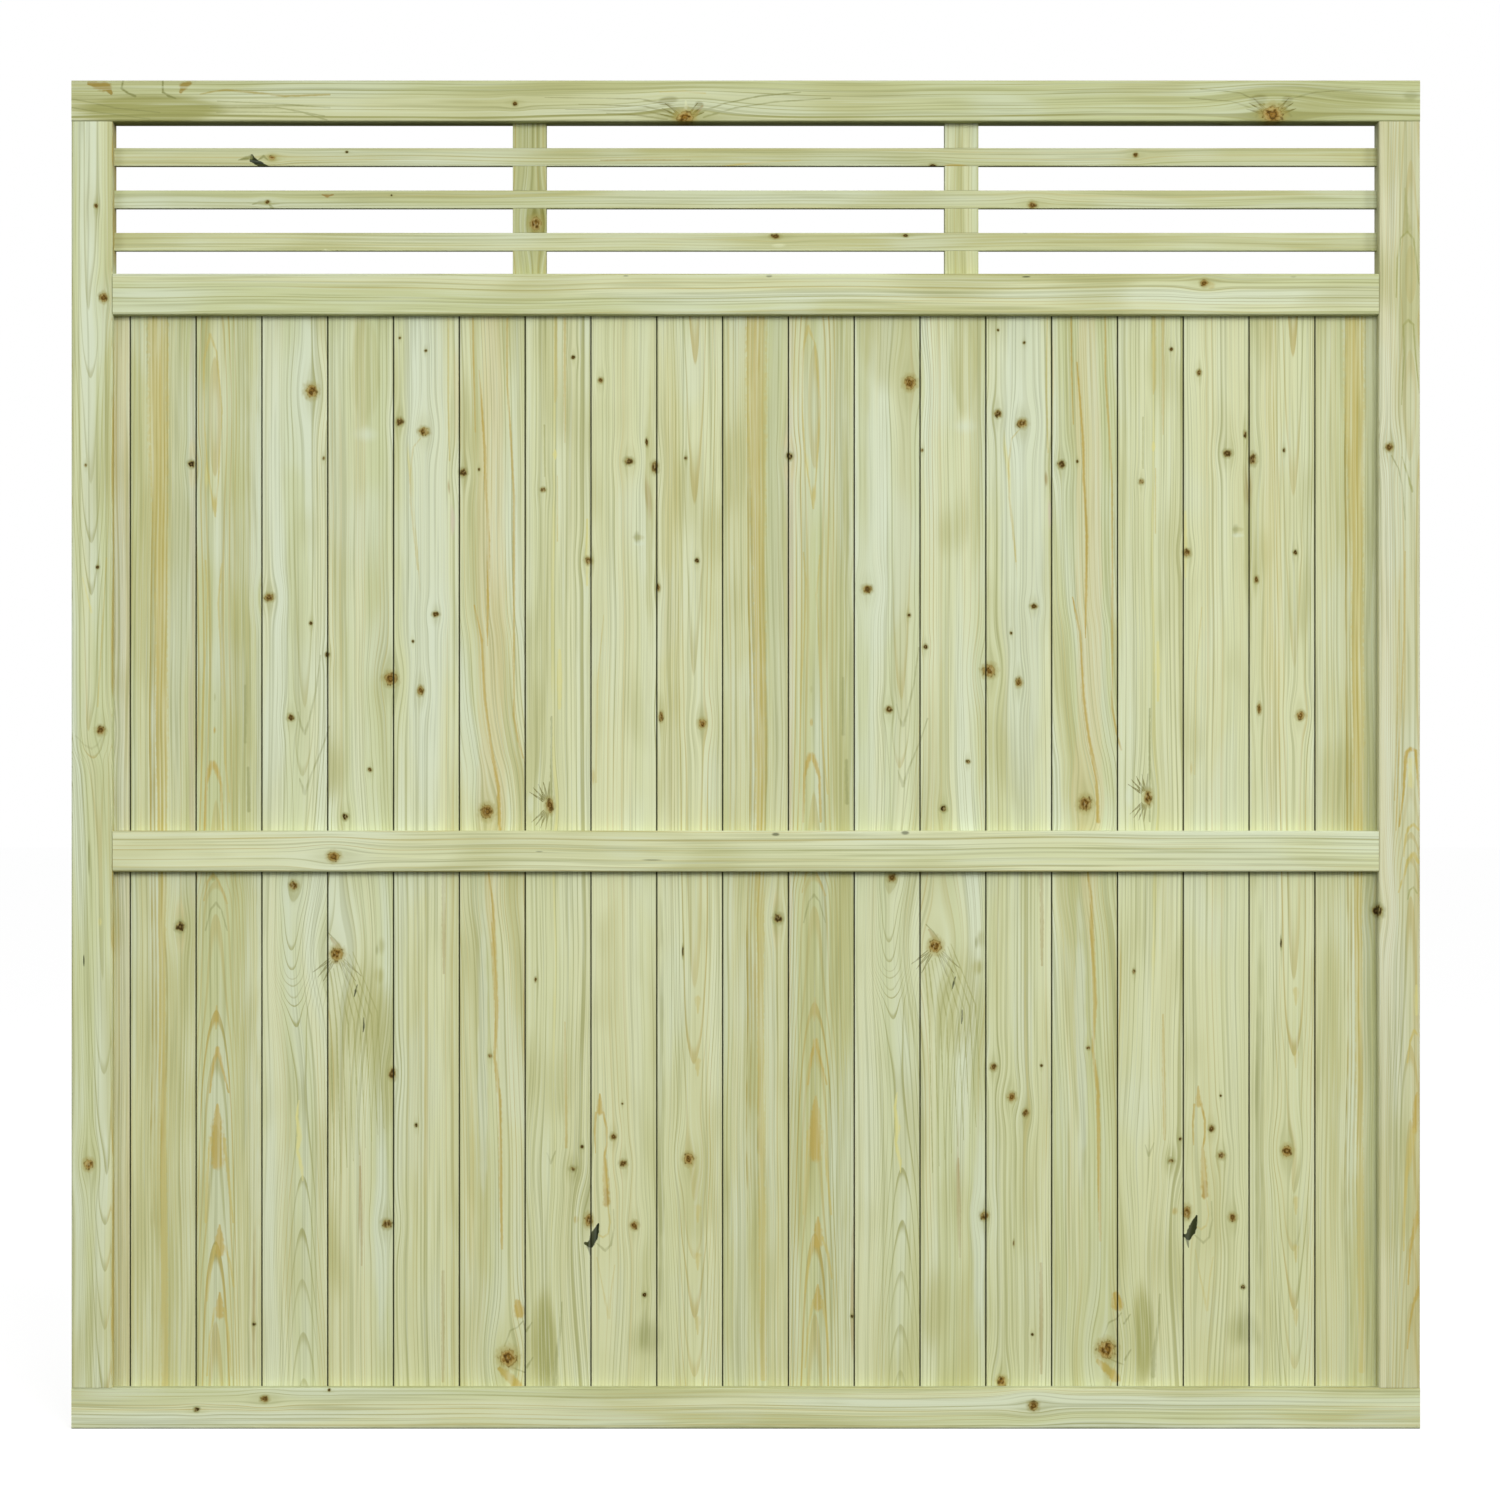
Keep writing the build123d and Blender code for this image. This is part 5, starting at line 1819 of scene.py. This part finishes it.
def make_timber_tree():
    gives = {"Geometry": "Geometry"}
    tree, given, result = new_group("machined timber", "GeometryNodeTree", TIMBER_INPUTS, gives)
    stick = planed_stick(tree, given)
    half_length = maths(tree, "MULTIPLY", given["Length"], 0.5)
    half_width = maths(tree, "MULTIPLY", given["Width"], 0.5)
    reach = maths(tree, "ADD", given["Tongue length"], given["Arris"])
    size = joined_vector(tree, reach, given["Tongue thickness"], given["Length"])
    middle = maths(tree, "SUBTRACT", given["Tongue length"], given["Arris"])
    middle = maths(tree, "MULTIPLY_ADD", middle, 0.5, half_width)
    tongue = moved_block(tree, size, joined_vector(tree, middle, 0.0, half_length))
    tongued = chosen(tree, given["Tongued"], stick, combined(tree, "UNION", stick, tongue))
    deep = maths(tree, "MULTIPLY", given["Groove depth"], 2.0)
    past = maths(tree, "MULTIPLY", given["Length"], PAST_THE_END)
    size = joined_vector(tree, deep, given["Groove width"], past)
    edge = maths(tree, "MULTIPLY", half_width, -1.0)
    groove = moved_block(tree, size, joined_vector(tree, edge, 0.0, half_length))
    grooved = chosen(tree, given["Grooved"], tongued, combined(tree, "DIFFERENCE", tongued, groove))
    inputs = {"Geometry": grooved, "Translation": given["Place"], "Rotation": given["Turn"]}
    set_down = add(tree, "GeometryNodeTransform", inputs).outputs["Geometry"]
    holes = add(tree, "GeometryNodeObjectInfo", {"Object": given["Holes"]}).outputs["Geometry"]
    bored = chosen(tree, given["Bored"], set_down, combined(tree, "DIFFERENCE", set_down, holes))
    solid = add(tree, "GeometryNodeRealizeInstances", {"Geometry": bored}).outputs["Geometry"]
    inputs = {"Geometry": solid, "Material": given["Material"]}
    dressed = add(tree, "GeometryNodeSetMaterial", inputs).outputs["Geometry"]
    fill(tree, result["Geometry"], dressed)
    return tree


TIMBER_TREE = make_timber_tree()

# %% [markdown]
# The wall of boards. Each stands where the construction has it, from the box of its node, which
# reaches to the end of the tongue.

# %% Boards
BOARD_ARRIS = 0.7 * MM
TONGUE_LENGTH = 6.0 * MM
TONGUE_THICKNESS = 4.0 * MM
GROOVE_DEPTH = 5.8 * MM
GROOVE_WIDTH = 4.3 * MM

for name in BOARDS:
    low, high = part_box(name)
    width = high.x - low.x - TONGUE_LENGTH
    board = made_by(
        TIMBER_TREE,
        f"wall_{name}",
        Length=high.z - low.z,
        Width=width,
        Thickness=high.y - low.y,
        Arris=BOARD_ARRIS,
        Arris_steps=1,
        Tongued=True,
        Tongue_length=TONGUE_LENGTH,
        Tongue_thickness=TONGUE_THICKNESS,
        Grooved=name != BOARDS[0],
        Groove_depth=GROOVE_DEPTH,
        Groove_width=GROOVE_WIDTH,
        Bored=True,
        Holes=HOLES_OF_BOARDS,
        Place=(low.x + width / 2, (low.y + high.y) / 2, low.z),
        Material=BOARD_MATERIALS[name],
    )
    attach(board, "root")
    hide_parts(name)
    print(board.name, round(width / MM, 1), "mm wide,", len(board.data.polygons), "faces")
bpy.data.objects.remove(HOLES_OF_BOARDS)

# %% [markdown]
# The slats are the same stick without tongue or groove, laid down by a quarter turn, with their
# edges rounded in a few steps.

# %% Slats
SLAT_ARRIS = 0.6 * MM
SLAT_ARRIS_STEPS = 3

for name in REBUILT_SLATS:
    low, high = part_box(name)
    slat = made_by(
        TIMBER_TREE,
        f"open_{name}",
        Length=high.x - low.x,
        Width=high.z - low.z,
        Thickness=high.y - low.y,
        Arris=SLAT_ARRIS,
        Arris_steps=SLAT_ARRIS_STEPS,
        Turn=(0.0, math.pi / 2, 0.0),
        Place=(low.x, (low.y + high.y) / 2, (low.z + high.z) / 2),
        Material=FRAME_MATERIALS[name],
    )
    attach(slat, "root")
    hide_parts(name)
    print(slat.name, len(slat.data.polygons), "faces")

# %% [markdown]
# A plain pale floor. The camera sees it as white, with the panel's shadow still on it, and the
# panel itself gets little light back from it, as from ground a step away, so that the undersides
# of the rails stay dark.

# %% Floor
FLOOR_HALF = 200.0
FLOOR_SEEN = 0.5
FLOOR_GLOW = 0.74
FLOOR_BOUNCE = 0.10

corners = [(-1, -1), (1, -1), (1, 1), (-1, 1)]
floor_mesh = bpy.data.meshes.new("floor")
floor_mesh.from_pydata([(x * FLOOR_HALF, y * FLOOR_HALF, 0) for x, y in corners], [], [(0, 1, 2, 3)])
floor = bpy.data.objects.new("floor", floor_mesh)
bpy.context.scene.collection.objects.link(floor)
floor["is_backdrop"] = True

floor_material, tree = new_material("pale floor")
path = add(tree, "ShaderNodeLightPath").outputs
greys = [(grey, grey, grey, 1) for grey in (FLOOR_SEEN, FLOOR_BOUNCE)]
seen, dim = [add(tree, "ShaderNodeBsdfDiffuse", {"Color": grey}).outputs["BSDF"] for grey in greys]
glow = add(tree, "ShaderNodeEmission", {"Strength": FLOOR_GLOW}).outputs[0]
white = add(tree, "ShaderNodeAddShader", {0: seen, 1: glow}).outputs[0]
shader = add(tree, "ShaderNodeMixShader", {0: path["Is Camera Ray"], 1: dim, 2: white}).outputs[0]
shown(tree, shader)
floor_mesh.materials.append(floor_material)

# %% [markdown]
# The world is a white backdrop to the eye and to reflections, and an even, weaker light to the
# panel. A broad lamp high on the right gives the shadows under the rails, one further round the
# side gives the wide faint one beside the right stile, and a weak one on the left keeps them open.

# %% World and lamps
WORLD_LIGHT = 0.5
WHITE = (1, 1, 1, 1)
# Where each lamp stands, how wide it is and how strong
LAMPS = {
    "key": ((2.6, -10, 4.0), 3.5, 450),
    "side": ((8.5, -8, 4.0), 3.0, 330),
    "fill": ((-6, -8, 2.0), 4.0, 192),
}
LAMP_TARGET = Vector((0, 0, 0.9))

world = bpy.data.worlds.new("studio")
world.use_nodes = True
bpy.context.scene.world = world
tree = world.node_tree
tree.nodes.clear()
path = add(tree, "ShaderNodeLightPath").outputs
looks = maths(tree, "MAXIMUM", path["Is Camera Ray"], path["Is Glossy Ray"])
looks = maths(tree, "MAXIMUM", looks, path["Is Transmission Ray"])
backdrop = add(tree, "ShaderNodeBackground", {"Color": WHITE, "Strength": 1.0}).outputs[0]
ambient = add(tree, "ShaderNodeBackground", {"Color": WHITE, "Strength": WORLD_LIGHT}).outputs[0]
shader = add(tree, "ShaderNodeMixShader", {0: looks, 1: ambient, 2: backdrop}).outputs[0]
shown(tree, shader, "World")

for name, (place, width, power) in LAMPS.items():
    data = bpy.data.lights.new(name, "AREA")
    data.size = width
    data.energy = power
    lamp = bpy.data.objects.new(name, data)
    lamp.location = place
    lamp.rotation_euler = (LAMP_TARGET - Vector(place)).to_track_quat("-Z", "Y").to_euler()
    bpy.context.scene.collection.objects.link(lamp)

# %% [markdown]
# Both boxes are put side by side.

# %% Both boxes side by side
seen_low, seen_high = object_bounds()
boxes = {"cad": [list(cad_low), list(cad_high)], "visual": [list(seen_low), list(seen_high)]}
print("visual box", [round(x, 4) for x in (*seen_low, *seen_high)])
